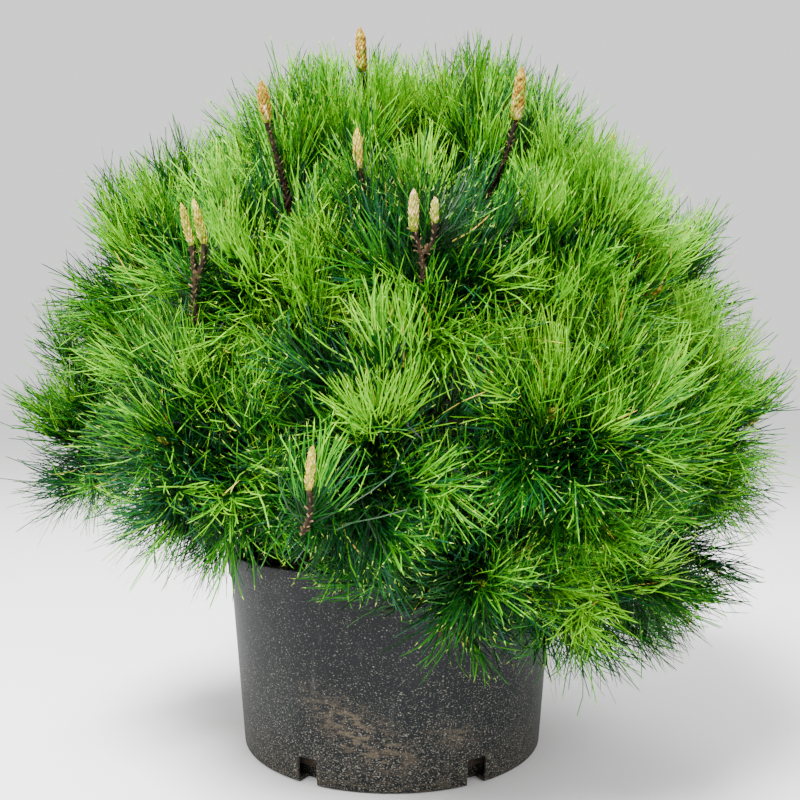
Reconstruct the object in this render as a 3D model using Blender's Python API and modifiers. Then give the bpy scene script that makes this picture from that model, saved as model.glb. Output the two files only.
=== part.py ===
"""A potted dwarf Austrian pine: a round crown of needle brushes on short boughs, in a squat nursery pot.

Metres, +Z up. The origin is on the ground, on the pot's axis. The front is -Y, and azimuths turn from
the front towards +X.
"""

import math
import random

import bmesh
import bpy
from mathutils import Matrix, Vector

UP = Vector((0, 0, 1))
CLEAR = 0.0003

# Pot: a squat container with a rim band, a foot ring, a small centre pad and drain slots in its foot.
POT_HEIGHT = 0.192
BAND_HEIGHT = 0.024
FOOT_RADIUS = 0.149
WALL_TOP_RADIUS = 0.1632
BAND_OUT = 0.0024
LIP_OUT = 0.0015
WALL = 0.0022
FLOOR = 0.003
FOOT_RING_WIDTH = 0.018
FLOOR_RISE = 0.007
FOOT_CHAMFER = 0.0025
PAD_RADIUS = 0.014
POT_STEPS = 48
SLOT_COUNT = 6
SLOT_FIRST = 30.0
SLOT_WIDTH = 0.0195
SLOT_HEIGHT = 0.024

# Potting soil: it fills the pot to a little under the lip, and stands back behind each drain slot.
SOIL_DEPTH_BELOW_LIP = 0.021
SOIL_CROWN_RADIUS = 0.05
SOIL_FALL = 0.004
SOIL_SETBACK = 0.008

# Crown: a globe whose middle is a little right of the pot's axis.
CROWN_CENTRE = Vector((0.014, 0.0, 0.322))
CROWN_REACH = 0.362
LIMB_REACH = 0.146
HUB_REACH = 0.186
SITE_REACH = 0.25
CORE_INNER_REACH = 0.158
CORE_DEPTH = 0.062
CORE_HALF_DEPTH = 0.085
CORE_BREADTH = 0.16
CORE_FINENESS = 2
NEEDLE_LENGTH = 0.074
TIP_GAP = 0.05
LIFT = 0.012
LOBE_FALL = 0.10
LOBE_ANGLE = 20.0
CELL_MARGIN = 0.0006
CORE_MARGIN = 0.0022
SPIKE_MARGIN = 0.0055
POT_MARGIN = 0.005

# Shoots: the large brushes that show in front, by azimuth and elevation, and an even spiral of headings
# over the rest of the crown.
FRONT_BRUSHES = (
    (-25, 44), (-9, 56), (17, 43), (-51, 31), (-57, 14), (-18, 19), (11, 12), (42, 19), (52, 6), (-50, -5),
    (-28, -10), (-12, -12), (20, 1), (52, -9), (22, -25), (31, -13), (12, -7), (-20, 4), (-38, 13), (26, 18),
    (31, -33), (-84, -33),
)
SHOOTS = 80
LOWEST_SINE = -0.66
BRUSH_ROOM = 14.0
RIM_VIEW = (-66, -6)
RIM_VIEW_LOWEST = -0.24
LEADER_ROOM = 9.0
WIDEST_ANGLE = 31.0
PULLS = (0.0, 0.12, 0.24, 0.36, 0.5)
LEVEL_LIFT = 0.6
LIFT_GAIN = 1.6
MOST_LIFT = 0.9

# Rings of foliage masses: name, elevation from the crown's centre, droop, the azimuth that droops most,
# and the azimuth and the share of the crown's reach of each mass.
RINGS = (
    ("crest", 57, 0, 0, ((-32, 0.99), (30, 0.99), (98, 0.96), (170, 0.96), (-112, 0.96))),
    ("shoulder", 28, 0, 0, (
        (-66, 1.03), (-32, 0.98), (2, 0.95), (35, 0.99), (68, 0.99), (115, 1.0), (168, 1.0), (-134, 1.0),
    )),
    ("waist", 0, 3, -30, (
        (-74, 1.06), (-38, 0.98), (-4, 0.96), (32, 0.98), (68, 1.04), (112, 1.02), (162, 1.0), (-146, 1.0),
    )),
    ("skirt", -22, 4, 45, (
        (10, 0.93), (44, 0.99), (78, 1.04), (120, 0.95), (170, 0.92), (-138, 0.88), (-96, 0.84),
    )),
)
TOP_DIRECTION = (170, 82)
TOP_SHARE = 0.96
SEED = 7

# Bud candles that stand clear of the needles: azimuth and elevation of the tip, its reach, and the
# candle's length.
CANDLES = (
    (-29, 48, 0.362, 0.042),
    (-16, 66, 0.372, 0.036),
    (23, 51, 0.362, 0.044),
    (-8, 37, 0.352, 0.028),
    (-31, 28, 0.352, 0.036),
    (-29.4, 27.6, 0.350, 0.034),
    (1, 28, 0.345, 0.028),
    (3.4, 26.9, 0.345, 0.019),
    (-11, -3, 0.352, 0.040),
    (88, 54, 0.360, 0.036),
    (158, 52, 0.362, 0.040),
    (-120, 50, 0.362, 0.038),
    (126, 26, 0.356, 0.034),
)
CANDLE_RADIUS = 0.0052
CANDLE_STEM = 0.062
CANDLE_STEM_RADIUS = 0.0036

# Limbs
TRUNK_FOOT_RADIUS = 0.026
TRUNK_RADIUS = 0.017
TRUNK_TIP_RADIUS = 0.0062
FLARE_HEIGHT = 0.022
BOUGH_RADIUS = 0.0058
BOUGH_TIP_RADIUS = 0.0036
BOUGH_STEPS = 4
TRUNK_SIDES = 12
BOUGH_SIDES = 6
STEM_SIDES = 5
STRAIGHT_TIP = 0.012
LEAVE_HEIGHTS = {"crest": 0.350, "shoulder": 0.300, "waist": 0.254, "skirt": 0.210}
LEAVE_STAGGER = 0.013
LEAVE_LEVELS = 3
STEM_RADIUS = 0.0034
TWIG_RADIUS = 0.0027
TWIG_TIP_RADIUS = 0.0018

# Solid needles are larger than life: each stands for a spray.
SPIKES_PER_SHOOT = 6
SPIKE_WIDTH = 0.010
SPIKE_TIP_WIDTH = 0.0016
SPIKE_FIRST = 0.6
SPIKE_LEAN = 56.0
SPIKE_LEAN_FALL = 44.0
SHORTEST_SHARE = 0.5
GOLDEN_ANGLE = 137.508


def clear_scene():
    for obj in list(bpy.data.objects):
        bpy.data.objects.remove(obj)


def new_collection(name):
    collection = bpy.data.collections.new(name)
    bpy.context.scene.collection.children.link(collection)
    return collection


def material(name, colour, roughness, metallic=0.0):
    made = bpy.data.materials.new(name)
    made.use_nodes = True
    shader = made.node_tree.nodes["Principled BSDF"]
    shader.inputs["Base Color"].default_value = (*colour, 1.0)
    shader.inputs["Roughness"].default_value = roughness
    shader.inputs["Metallic"].default_value = metallic
    return made


def add_object(name, mesh, collection, finish=None):
    obj = bpy.data.objects.new(name, mesh)
    collection.objects.link(obj)
    if finish:
        mesh.materials.clear()
        mesh.materials.append(finish)
    return obj


def evaluated_mesh(obj):
    """The object's mesh with its modifiers or its curve bevel in it, caps welded, in world space."""
    bpy.context.view_layer.update()
    graph = bpy.context.evaluated_depsgraph_get()
    mesh = bpy.data.meshes.new_from_object(obj.evaluated_get(graph))
    shape = bmesh.new()
    shape.from_mesh(mesh)
    bmesh.ops.remove_doubles(shape, verts=shape.verts, dist=1e-6)
    bmesh.ops.recalc_face_normals(shape, faces=shape.faces)
    shape.transform(obj.matrix_world)
    shape.to_mesh(mesh)
    shape.free()
    return mesh


def mesh_of(name, shape):
    mesh = bpy.data.meshes.new(name)
    shape.to_mesh(mesh)
    shape.free()
    return mesh


def direction(azimuth, elevation):
    """The unit vector at an azimuth from the front and an elevation, both in degrees."""
    turn, rise = math.radians(azimuth), math.radians(elevation)
    return Vector((math.sin(turn) * math.cos(rise), -math.cos(turn) * math.cos(rise), math.sin(rise)))


def turned(name, profile, steps, collection, finish):
    """A closed profile of (radius, height) points, turned round the Z axis."""
    mesh = bpy.data.meshes.new(name)
    points = [(radius, 0, height) for radius, height in profile]
    on_axis = profile[0][0] == 0 and profile[-1][0] == 0
    edges = [(i, i + 1) for i in range(len(points) - 1)]
    if not on_axis:
        edges.append((len(points) - 1, 0))
    mesh.from_pydata(points, edges, [])
    obj = add_object(name, mesh, collection)
    screw = obj.modifiers.new("turn", "SCREW")
    screw.axis = "Z"
    screw.steps = steps
    screw.render_steps = steps
    screw.use_merge_vertices = True
    screw.merge_threshold = 0.00005
    solid = evaluated_mesh(obj)
    bpy.data.objects.remove(obj)
    return add_object(name, solid, collection, finish)


def wall_radius(height):
    """The pot wall's outer radius at a height."""
    share = height / (POT_HEIGHT - BAND_HEIGHT)
    return FOOT_RADIUS + (WALL_TOP_RADIUS - FOOT_RADIUS) * share


def pot_profile():
    band_foot = POT_HEIGHT - BAND_HEIGHT
    lip_radius = WALL_TOP_RADIUS + BAND_OUT + LIP_OUT
    ring = FOOT_RADIUS - FOOT_RING_WIDTH
    outside = [
        (0, 0),
        (PAD_RADIUS, 0),
        (PAD_RADIUS + FOOT_CHAMFER, FLOOR_RISE),
        (ring - FOOT_CHAMFER, FLOOR_RISE),
        (ring, 0),
        (FOOT_RADIUS - FOOT_CHAMFER, 0),
        (wall_radius(FOOT_CHAMFER), FOOT_CHAMFER),
        (WALL_TOP_RADIUS, band_foot),
        (WALL_TOP_RADIUS + BAND_OUT, band_foot + 0.0006),
        (lip_radius, POT_HEIGHT),
    ]
    inside = [
        (lip_radius - 1.6 * WALL, POT_HEIGHT),
        (WALL_TOP_RADIUS - WALL, band_foot),
        (wall_radius(FLOOR) - WALL, FLOOR),
        (ring + WALL, FLOOR),
        (ring - FOOT_CHAMFER + WALL, FLOOR_RISE + FLOOR),
        (0, FLOOR_RISE + FLOOR),
    ]
    return (outside + inside)[::-1]


def soil_profile():
    """Along the pot's inside, CLEAR away from it, and up to a nearly level top."""
    ring = FOOT_RADIUS - FOOT_RING_WIDTH
    top = POT_HEIGHT - SOIL_DEPTH_BELOW_LIP
    edge = top - SOIL_FALL
    band_foot = POT_HEIGHT - BAND_HEIGHT
    inner_lip = WALL_TOP_RADIUS + BAND_OUT + LIP_OUT - 1.6 * WALL
    inner_wall = WALL_TOP_RADIUS - WALL
    edge_radius = inner_wall + (inner_lip - inner_wall) * max(0.0, edge - band_foot) / BAND_HEIGHT
    gap = 2 * CLEAR
    floor = FLOOR + gap
    return [
        (0, top),
        (SOIL_CROWN_RADIUS, top),
        (edge_radius - gap - 0.012, edge + 0.001),
        (edge_radius - gap, edge),
        (inner_wall - gap, band_foot - 0.002),
        (wall_radius(FLOOR) - WALL - gap, floor),
        (ring + WALL + gap, floor),
        (ring - FOOT_CHAMFER + WALL + gap, FLOOR_RISE + floor),
        (0, FLOOR_RISE + floor),
    ]


def slot_cutters(name, inner, height, width, collection):
    """One box for each drain slot, from an inner radius out past the wall."""
    outer = WALL_TOP_RADIUS + 0.01
    cutters = []
    for i in range(SLOT_COUNT):
        turn = math.radians(SLOT_FIRST + i * 360 / SLOT_COUNT)
        shape = bmesh.new()
        bmesh.ops.create_cube(shape, size=1)
        size = Matrix.Diagonal((width, outer - inner, height * 2, 1))
        place = Matrix.Rotation(turn, 4, "Z") @ Matrix.Translation((0, -(outer + inner) / 2, 0))
        shape.transform(place @ size)
        cutter = add_object(f"{name}_{i + 1}", mesh_of(name, shape), collection)
        cutter.hide_render = True
        cutter.display_type = "WIRE"
        cutters.append(cutter)
    return cutters


def cut_all(obj, cutters):
    """Cuts the object by each cutter and keeps the result as its mesh."""
    for cutter in cutters:
        step = obj.modifiers.new("cut", "BOOLEAN")
        step.operation = "DIFFERENCE"
        step.object = cutter
    mesh = evaluated_mesh(obj)
    for finish in obj.data.materials:
        mesh.materials.append(finish)
    obj.modifiers.clear()
    obj.data = mesh
    for cutter in cutters:
        bpy.data.objects.remove(cutter)


def build_pot(parts, cutting, finish):
    pot = turned("pot", pot_profile(), POT_STEPS, parts, finish)
    inner = FOOT_RADIUS - FOOT_RING_WIDTH + 0.003
    cut_all(pot, slot_cutters("slot", inner, SLOT_HEIGHT, SLOT_WIDTH, cutting))
    return pot


def build_soil(parts, cutting, finish):
    soil = turned("potting_soil", soil_profile(), POT_STEPS, parts, finish)
    inner = FOOT_RADIUS - WALL - SOIL_SETBACK
    cutters = slot_cutters("drain", inner, SLOT_HEIGHT + 0.001, SLOT_WIDTH + 0.002, cutting)
    cut_all(soil, cutters)
    return soil


def curve_mesh(points, radii, sides):
    """A tapering round limb along points, with flat ends. The number of sides is even."""
    curve = bpy.data.curves.new("limb", "CURVE")
    curve.dimensions = "3D"
    curve.bevel_depth = 1.0
    curve.bevel_resolution = (sides - 4) // 2
    curve.use_fill_caps = True
    spline = curve.splines.new("POLY")
    spline.points.add(len(points) - 1)
    for point, place, radius in zip(spline.points, points, radii):
        point.co = (*place, 1)
        point.radius = radius
    obj = bpy.data.objects.new("limb", curve)
    bpy.context.scene.collection.objects.link(obj)
    mesh = evaluated_mesh(obj)
    bpy.data.objects.remove(obj)
    return mesh


def bend(start, control, end, steps):
    """Points along the arc from start to end that leans towards control."""
    points = []
    for i in range(steps + 1):
        t = i / steps
        points.append(start * (1 - t) ** 2 + control * (2 * t * (1 - t)) + end * t * t)
    return points


def trunk_line():
    """Centre and radius of the trunk at a few heights, from the soil to the leader's tip."""
    foot = Vector((0.0, 0.0, POT_HEIGHT - SOIL_DEPTH_BELOW_LIP + CLEAR))
    leader = direction(*TOP_DIRECTION)
    tip = CROWN_CENTRE + leader * LIMB_REACH
    control = Vector((-0.004, 0.003, foot.z + 0.5 * (tip.z - foot.z)))
    points = bend(foot, control, tip - leader * STRAIGHT_TIP, 5) + [tip]
    radii = [TRUNK_RADIUS + (TRUNK_TIP_RADIUS - TRUNK_RADIUS) * i / 6 for i in range(7)]
    points.insert(1, foot + UP * FLARE_HEIGHT)
    radii.insert(1, TRUNK_RADIUS * 1.04)
    radii[0] = TRUNK_FOOT_RADIUS
    return points, radii


def trunk_at(height):
    """The trunk's centre at a height."""
    points, _ = trunk_line()
    for low, high in zip(points, points[1:]):
        if height <= high.z:
            return low.lerp(high, (height - low.z) / (high.z - low.z))
    return points[-1]


def masses():
    """Every foliage mass as a dictionary: its name, ring, direction, reach, walls and shoots."""
    found = [{
        "name": "foliage_top",
        "ring": "top",
        "u": direction(*TOP_DIRECTION),
        "reach": CROWN_REACH * TOP_SHARE,
    }]
    for ring, elevation, droop, lowest, places in RINGS:
        for number, (azimuth, share) in enumerate(places, 1):
            chance = random.Random(f"{SEED} {ring} {number}")
            height = elevation - droop * math.cos(math.radians(azimuth - lowest)) + chance.uniform(-2, 2)
            found.append({
                "name": f"foliage_{ring}_{number}",
                "ring": ring,
                "u": direction(azimuth + chance.uniform(-1.5, 1.5), height),
                "reach": CROWN_REACH * share,
            })
    for mass in found:
        mass["planes"] = cell_planes(mass, found)
        mass["shoots"] = [shoot_line(mass, mass["u"])]
    for heading in crown_headings():
        mass = max(found, key=lambda one: one["u"].dot(heading))
        apart = math.degrees(mass["u"].angle(heading))
        if LEADER_ROOM < apart < WIDEST_ANGLE:
            mass["shoots"] += fitted_shoots(mass, heading)
    return found


def crown_headings():
    """The front brushes' directions, then a spiral from the top down that stays clear of them."""
    front = [direction(*place) for place in FRONT_BRUSHES]
    found = list(front)
    for i in range(SHOOTS):
        sine = 1 - (i + 0.5) * (1 - LOWEST_SINE) / SHOOTS
        heading = direction(GOLDEN_ANGLE * i, math.degrees(math.asin(sine)))
        apart = min(heading.angle(brush) for brush in front)
        if apart > math.radians(BRUSH_ROOM) and not hides_rim(heading):
            found.append(heading)
    return found


def hides_rim(heading):
    """True low at the front left, where the crown is undercut and the pot's rim shows."""
    azimuth = math.degrees(math.atan2(heading.x, -heading.y))
    return RIM_VIEW[0] < azimuth < RIM_VIEW[1] and heading.z < RIM_VIEW_LOWEST


def across(u):
    """Two unit vectors square to u, the first of them level."""
    level = UP.cross(u)
    level = level.normalized() if level.length > 1e-3 else Vector((1, 0, 0))
    return level, u.cross(level).normalized()


def local_reach(mass, heading):
    """How far the mass reaches along a heading: each mass is a lobe, lower towards its sides."""
    apart = math.degrees(mass["u"].angle(heading))
    return mass["reach"] * (1 - LOBE_FALL * min(1.5, apart / LOBE_ANGLE) ** 2)


def shoot_line(mass, heading):
    """The centreline of a shoot, from the mass's hub to the shoot's tip."""
    hub = CROWN_CENTRE + mass["u"] * HUB_REACH
    reach = local_reach(mass, heading) - TIP_GAP
    end = CROWN_CENTRE + heading * reach + UP * LIFT * max(0.0, heading.z)
    outward = (heading - mass["u"] * 0.6) * 0.03 - UP * 0.004
    return bend(hub, hub.lerp(end, 0.5) + outward, end, 2)


def fitted_shoots(mass, heading):
    """A shoot on a heading, pulled in towards the mass's own as far as it needs; none if it never fits."""
    for pull in PULLS:
        line = shoot_line(mass, (heading * (1 - pull) + mass["u"] * pull).normalized())
        if shoot_fits(line, mass["planes"]):
            return [line]
    return []


def cell_planes(mass, everyone):
    """The flat walls between a mass and the others: a point and a normal each, the normal facing out."""
    site = CROWN_CENTRE + mass["u"] * SITE_REACH
    planes = []
    for other in everyone:
        if other is mass:
            continue
        far = CROWN_CENTRE + other["u"] * SITE_REACH
        normal = (far - site).normalized()
        planes.append(((site + far) / 2 - normal * CELL_MARGIN, normal))
    return planes


def inside_cell(point, planes, margin=0.0):
    return all((point - on).dot(normal) < -margin for on, normal in planes)


def clear_of_pot(point, margin=POT_MARGIN):
    lip = WALL_TOP_RADIUS + BAND_OUT + LIP_OUT
    return point.z > POT_HEIGHT + margin or math.hypot(point.x, point.y) > lip + margin


def shoot_fits(line, planes):
    """True where a shoot keeps to its cell and passes well over or outside the pot."""
    samples = [line[i].lerp(line[i + 1], t / 4) for i in range(len(line) - 1) for t in range(5)]
    return all(inside_cell(point, planes, 0.004) and clear_of_pot(point, 0.008) for point in samples)


def clear_of_limbs(point):
    return (point - CROWN_CENTRE).length > CORE_INNER_REACH - 0.004


def free_share(root, tip, planes):
    """The share of the way from root to tip that stays in the mass's own space."""
    steps = 12
    share = 0.0
    for i in range(1, steps + 1):
        point = root.lerp(tip, i / steps)
        if not (inside_cell(point, planes, SPIKE_MARGIN) and clear_of_pot(point) and clear_of_limbs(point)):
            break
        share = i / steps
    return share


def core_walls(mass):
    """The planes that hold a mass's core: its cell's walls, the limbs' ball and the pot's lip."""
    u = mass["u"]
    walls = [(on - normal * CORE_MARGIN, normal) for on, normal in mass["planes"]]
    walls.append((CROWN_CENTRE + u * CORE_INNER_REACH, -u))
    out = Vector((u.x, u.y, 0)).normalized()
    lip = WALL_TOP_RADIUS + BAND_OUT + LIP_OUT + POT_MARGIN
    over_lip = (out + UP).normalized()
    if u.z < 0.3:
        walls.append((out * lip + UP * (POT_HEIGHT + POT_MARGIN), -over_lip))
    return walls


def core_mesh(mass):
    """The dense inside of a mass: a rounded lump that keeps to the mass's space."""
    outer = mass["reach"] - CORE_DEPTH
    centre = CROWN_CENTRE + mass["u"] * (CORE_INNER_REACH + outer) / 2
    walls = core_walls(mass)
    shape = bmesh.new()
    bmesh.ops.create_icosphere(shape, subdivisions=CORE_FINENESS, radius=1)
    for vert in shape.verts:
        way = vert.co.normalized()
        along = way.dot(mass["u"])
        radius = 1 / math.sqrt((along / CORE_HALF_DEPTH) ** 2 + (1 - along * along) / CORE_BREADTH ** 2)
        for on, normal in walls:
            facing = way.dot(normal)
            if facing > 1e-6:
                radius = min(radius, (on - centre).dot(normal) / facing)
        place = centre + way * radius - CROWN_CENTRE
        while place.length > local_reach(mass, place.normalized()) - CORE_DEPTH:
            radius *= 0.97
            place = centre + way * radius - CROWN_CENTRE
        vert.co = centre + way * radius
    return mesh_of("core", shape)


def segment_frame(root, tip):
    """A matrix that carries +Z onto the way from root to tip, with its origin at their middle."""
    turn = (tip - root).to_track_quat("Z", "Y").to_matrix().to_4x4()
    return Matrix.Translation((root + tip) / 2) @ turn


def spike_mesh(root, tip, width):
    """One needle spray: a slender three-sided spike."""
    shape = bmesh.new()
    length = (tip - root).length
    bmesh.ops.create_cone(
        shape, cap_ends=True, segments=3, radius1=width / 2, radius2=SPIKE_TIP_WIDTH / 2, depth=length,
    )
    shape.transform(segment_frame(root, tip))
    return mesh_of("spike", shape)


def twig_meshes(line, first_radius, last_radius):
    """A three-sided twig as overlapping tapering lengths."""
    count = len(line) - 1
    found = []
    for i in range(count):
        low = first_radius + (last_radius - first_radius) * i / count
        high = first_radius + (last_radius - first_radius) * (i + 1) / count
        way = (line[i + 1] - line[i]).normalized()
        shape = bmesh.new()
        root, tip = line[i] - way * (0.001 if i else 0.0), line[i + 1] + way * 0.001
        bmesh.ops.create_cone(
            shape, cap_ends=True, segments=3, radius1=low, radius2=high, depth=(tip - root).length,
        )
        shape.transform(segment_frame(root, tip) @ Matrix.Rotation(0.4 * i, 4, "Z"))
        found.append(mesh_of("twig", shape))
    return found


def candle_meshes(mass):
    """The bud candles that stand in a mass's space: each a blunt spindle on its bare stem."""
    found = []
    for azimuth, elevation, reach, length in CANDLES:
        u = direction(azimuth, elevation)
        tip = CROWN_CENTRE + u * reach
        way = (UP + u * 0.5).normalized()
        foot = tip - way * length
        root = foot - (way * 0.6 + u * 0.4) * CANDLE_STEM
        if not all(inside_cell(point, mass["planes"], 0.001) for point in (tip, foot, root)):
            continue
        found += twig_meshes([root, foot + way * 0.002], CANDLE_STEM_RADIUS, CANDLE_STEM_RADIUS)
        shape = bmesh.new()
        bmesh.ops.create_icosphere(shape, subdivisions=1, radius=1)
        shape.transform(Matrix.Diagonal((CANDLE_RADIUS, CANDLE_RADIUS, length / 2, 1)))
        shape.transform(segment_frame(foot, tip))
        found.append(mesh_of("candle", shape))
    return found


def brush_way(way):
    """The way a shoot's needles point: turned up, but not on shoots that hang."""
    lift = min(MOST_LIFT, max(0.0, LEVEL_LIFT + LIFT_GAIN * way.z))
    return (way + UP * lift).normalized()


def spikes_of(line, mass, chance):
    """Roots and tips of the needle sprays of a shoot, turned round it by the golden angle."""
    found = []
    for n in range(SPIKES_PER_SHOOT):
        t = SPIKE_FIRST + (1 - SPIKE_FIRST) * (n + 0.5) / SPIKES_PER_SHOOT
        place = t * (len(line) - 1)
        i = min(int(place), len(line) - 2)
        root = line[i].lerp(line[i + 1], place - i)
        way = brush_way((line[i + 1] - line[i]).normalized())
        level, rise = across(way)
        turn = math.radians(GOLDEN_ANGLE * n + chance.uniform(-15, 15)) + chance.random()
        lean = math.radians(SPIKE_LEAN - SPIKE_LEAN_FALL * t ** 3 + chance.uniform(-5, 5))
        side = level * math.cos(turn) + rise * math.sin(turn)
        heading = way * math.cos(lean) + side * math.sin(lean)
        tip = root + heading * NEEDLE_LENGTH * chance.uniform(0.95, 1.08)
        share = free_share(root, tip, mass["planes"])
        if share > SHORTEST_SHARE:
            found.append((root, root.lerp(tip, share)))
    return found


def join_all(name, base_mesh, meshes, collection, finish):
    """One closed solid from overlapping meshes, by one Boolean union on a collection."""
    group = bpy.data.collections.new(f"{name}_pieces")
    bpy.context.scene.collection.children.link(group)
    for number, mesh in enumerate(meshes):
        add_object(f"{name}_piece_{number}", mesh, group)
    whole = add_object(name, base_mesh, collection)
    joined = None
    for solver in ("EXACT", "MANIFOLD"):
        step = whole.modifiers.new("join", "BOOLEAN")
        step.operation = "UNION"
        step.operand_type = "COLLECTION"
        step.collection = group
        step.solver = solver
        joined = evaluated_mesh(whole)
        whole.modifiers.clear()
        if tidy(joined):
            break
    whole.data = joined
    joined.materials.clear()
    joined.materials.append(finish)
    for obj in list(group.objects):
        bpy.data.objects.remove(obj)
    bpy.data.collections.remove(group)
    return whole


def tidy(mesh):
    """Keeps the largest closed body of a mesh. It is false where that body isn't closed."""
    shape = bmesh.new()
    shape.from_mesh(mesh)
    bmesh.ops.triangulate(shape, faces=shape.faces)
    bmesh.ops.dissolve_degenerate(shape, dist=1e-6, edges=shape.edges)
    bmesh.ops.triangulate(shape, faces=shape.faces)
    left = set(shape.verts)
    groups = []
    while left:
        stack = [left.pop()]
        group = set(stack)
        while stack:
            for edge in stack.pop().link_edges:
                for vert in edge.verts:
                    if vert in left:
                        left.discard(vert)
                        group.add(vert)
                        stack.append(vert)
        groups.append(group)
    groups.sort(key=len)
    for group in groups[:-1]:
        bmesh.ops.delete(shape, geom=list(group), context="VERTS")
    closed = all(len(edge.link_faces) == 2 for edge in shape.edges)
    shape.to_mesh(mesh)
    shape.free()
    return closed


def build_mass(mass, parts, finish):
    """Stem, dense core, shoots, needle sprays and candles, all in one solid."""
    chance = random.Random(f"{SEED} spikes {mass['name']}")
    u = mass["u"]
    foot = CROWN_CENTRE + u * (LIMB_REACH + CLEAR)
    hub = CROWN_CENTRE + u * HUB_REACH
    stem = curve_mesh([foot, foot.lerp(hub, 0.5), hub], [STEM_RADIUS, STEM_RADIUS, TWIG_RADIUS], STEM_SIDES)
    pieces = [stem] + candle_meshes(mass)
    for line in mass["shoots"]:
        pieces += twig_meshes(line, TWIG_RADIUS, TWIG_TIP_RADIUS)
        for root, tip in spikes_of(line, mass, chance):
            pieces.append(spike_mesh(root, tip, SPIKE_WIDTH))
    return join_all(mass["name"], core_mesh(mass), pieces, parts, finish)


def build_trunk(parts, finish):
    points, radii = trunk_line()
    return add_object("trunk", curve_mesh(points, radii, TRUNK_SIDES), parts, finish)


def grown_trunk(collection):
    """The trunk with CLEAR added all round, to cut each bough's foot to a close seat."""
    points, radii = trunk_line()
    points[0] = points[0] - UP * 0.01
    points[-1] = points[-1] + UP * 0.01
    mesh = curve_mesh(points, [radius + CLEAR for radius in radii], TRUNK_SIDES)
    return add_object("trunk_cutter", mesh, collection)


def build_bough(mass, number, parts, cutting, finish):
    """One tapering limb from the trunk, rising to its mass's stem."""
    stagger = LEAVE_STAGGER * (number % LEAVE_LEVELS - 1)
    start = trunk_at(LEAVE_HEIGHTS[mass["ring"]] + stagger)
    end = CROWN_CENTRE + mass["u"] * LIMB_REACH
    points = bend(start, end - mass["u"] * 0.055, end - mass["u"] * STRAIGHT_TIP, BOUGH_STEPS - 1) + [end]
    fall = (BOUGH_TIP_RADIUS - BOUGH_RADIUS) / BOUGH_STEPS
    radii = [BOUGH_RADIUS + fall * i for i in range(BOUGH_STEPS + 1)]
    name = mass["name"].replace("foliage", "bough")
    bough = add_object(name, curve_mesh(points, radii, BOUGH_SIDES), parts, finish)
    cut_all(bough, [grown_trunk(cutting)])
    return bough


def main():
    clear_scene()
    parts = new_collection("potted_pine")
    cutting = new_collection("cutters")
    cutting.hide_render = True
    plastic = material("nursery_pot_plastic", (0.035, 0.038, 0.042), 0.55)
    earth = material("peat_and_bark_soil", (0.045, 0.028, 0.016), 0.95)
    bark = material("young_pine_bark", (0.11, 0.075, 0.05), 0.85)
    needles = material("pine_needles", (0.09, 0.26, 0.03), 0.45)
    build_pot(parts, cutting, plastic)
    build_soil(parts, cutting, earth)
    build_trunk(parts, bark)
    for number, mass in enumerate(masses()):
        if mass["ring"] != "top":
            build_bough(mass, number, parts, cutting, bark)
        build_mass(mass, parts, needles)


main()
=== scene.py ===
"""Looks of a potted dwarf Austrian pine, laid out as a Blender add-on.

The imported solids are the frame. The crown grows again by the same rule as the solids, carried on to finer
twigs and single needles, and the pot, soil and bark get modelled surfaces. Metres, +Z up, the front is -Y.
"""

import math
import random

import bmesh
import bpy
import numpy as np
from mathutils import Matrix, Vector, noise


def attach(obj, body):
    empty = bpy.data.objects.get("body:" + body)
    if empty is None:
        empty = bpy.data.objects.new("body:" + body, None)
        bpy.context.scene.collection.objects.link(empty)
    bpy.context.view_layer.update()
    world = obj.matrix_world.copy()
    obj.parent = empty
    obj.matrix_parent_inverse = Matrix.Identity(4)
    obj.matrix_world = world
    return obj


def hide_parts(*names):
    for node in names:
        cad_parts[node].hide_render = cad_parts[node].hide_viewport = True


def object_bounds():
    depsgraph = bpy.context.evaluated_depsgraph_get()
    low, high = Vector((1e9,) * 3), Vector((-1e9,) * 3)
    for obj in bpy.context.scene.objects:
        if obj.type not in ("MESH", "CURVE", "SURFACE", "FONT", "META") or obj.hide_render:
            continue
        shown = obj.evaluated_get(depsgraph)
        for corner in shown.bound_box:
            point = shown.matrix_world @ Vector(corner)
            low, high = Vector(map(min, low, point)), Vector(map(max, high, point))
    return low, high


bl_info = {
    "name": "Potted Pine",
    "version": (1, 0, 0),
    "blender": (4, 5, 0),
    "location": "View3D > Sidebar > Potted Pine",
    "description": "Builds the needles, twigs, candles, bark, soil and pot of a potted dwarf pine",
    "category": "Object",
}

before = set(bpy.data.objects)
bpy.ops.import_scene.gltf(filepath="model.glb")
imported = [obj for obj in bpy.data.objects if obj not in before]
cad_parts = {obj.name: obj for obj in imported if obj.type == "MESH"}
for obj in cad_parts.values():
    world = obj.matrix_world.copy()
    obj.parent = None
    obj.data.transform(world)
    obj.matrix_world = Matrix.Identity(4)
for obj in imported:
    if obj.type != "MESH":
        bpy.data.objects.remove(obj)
CAD_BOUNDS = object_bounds()

UP = Vector((0, 0, 1))

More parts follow.
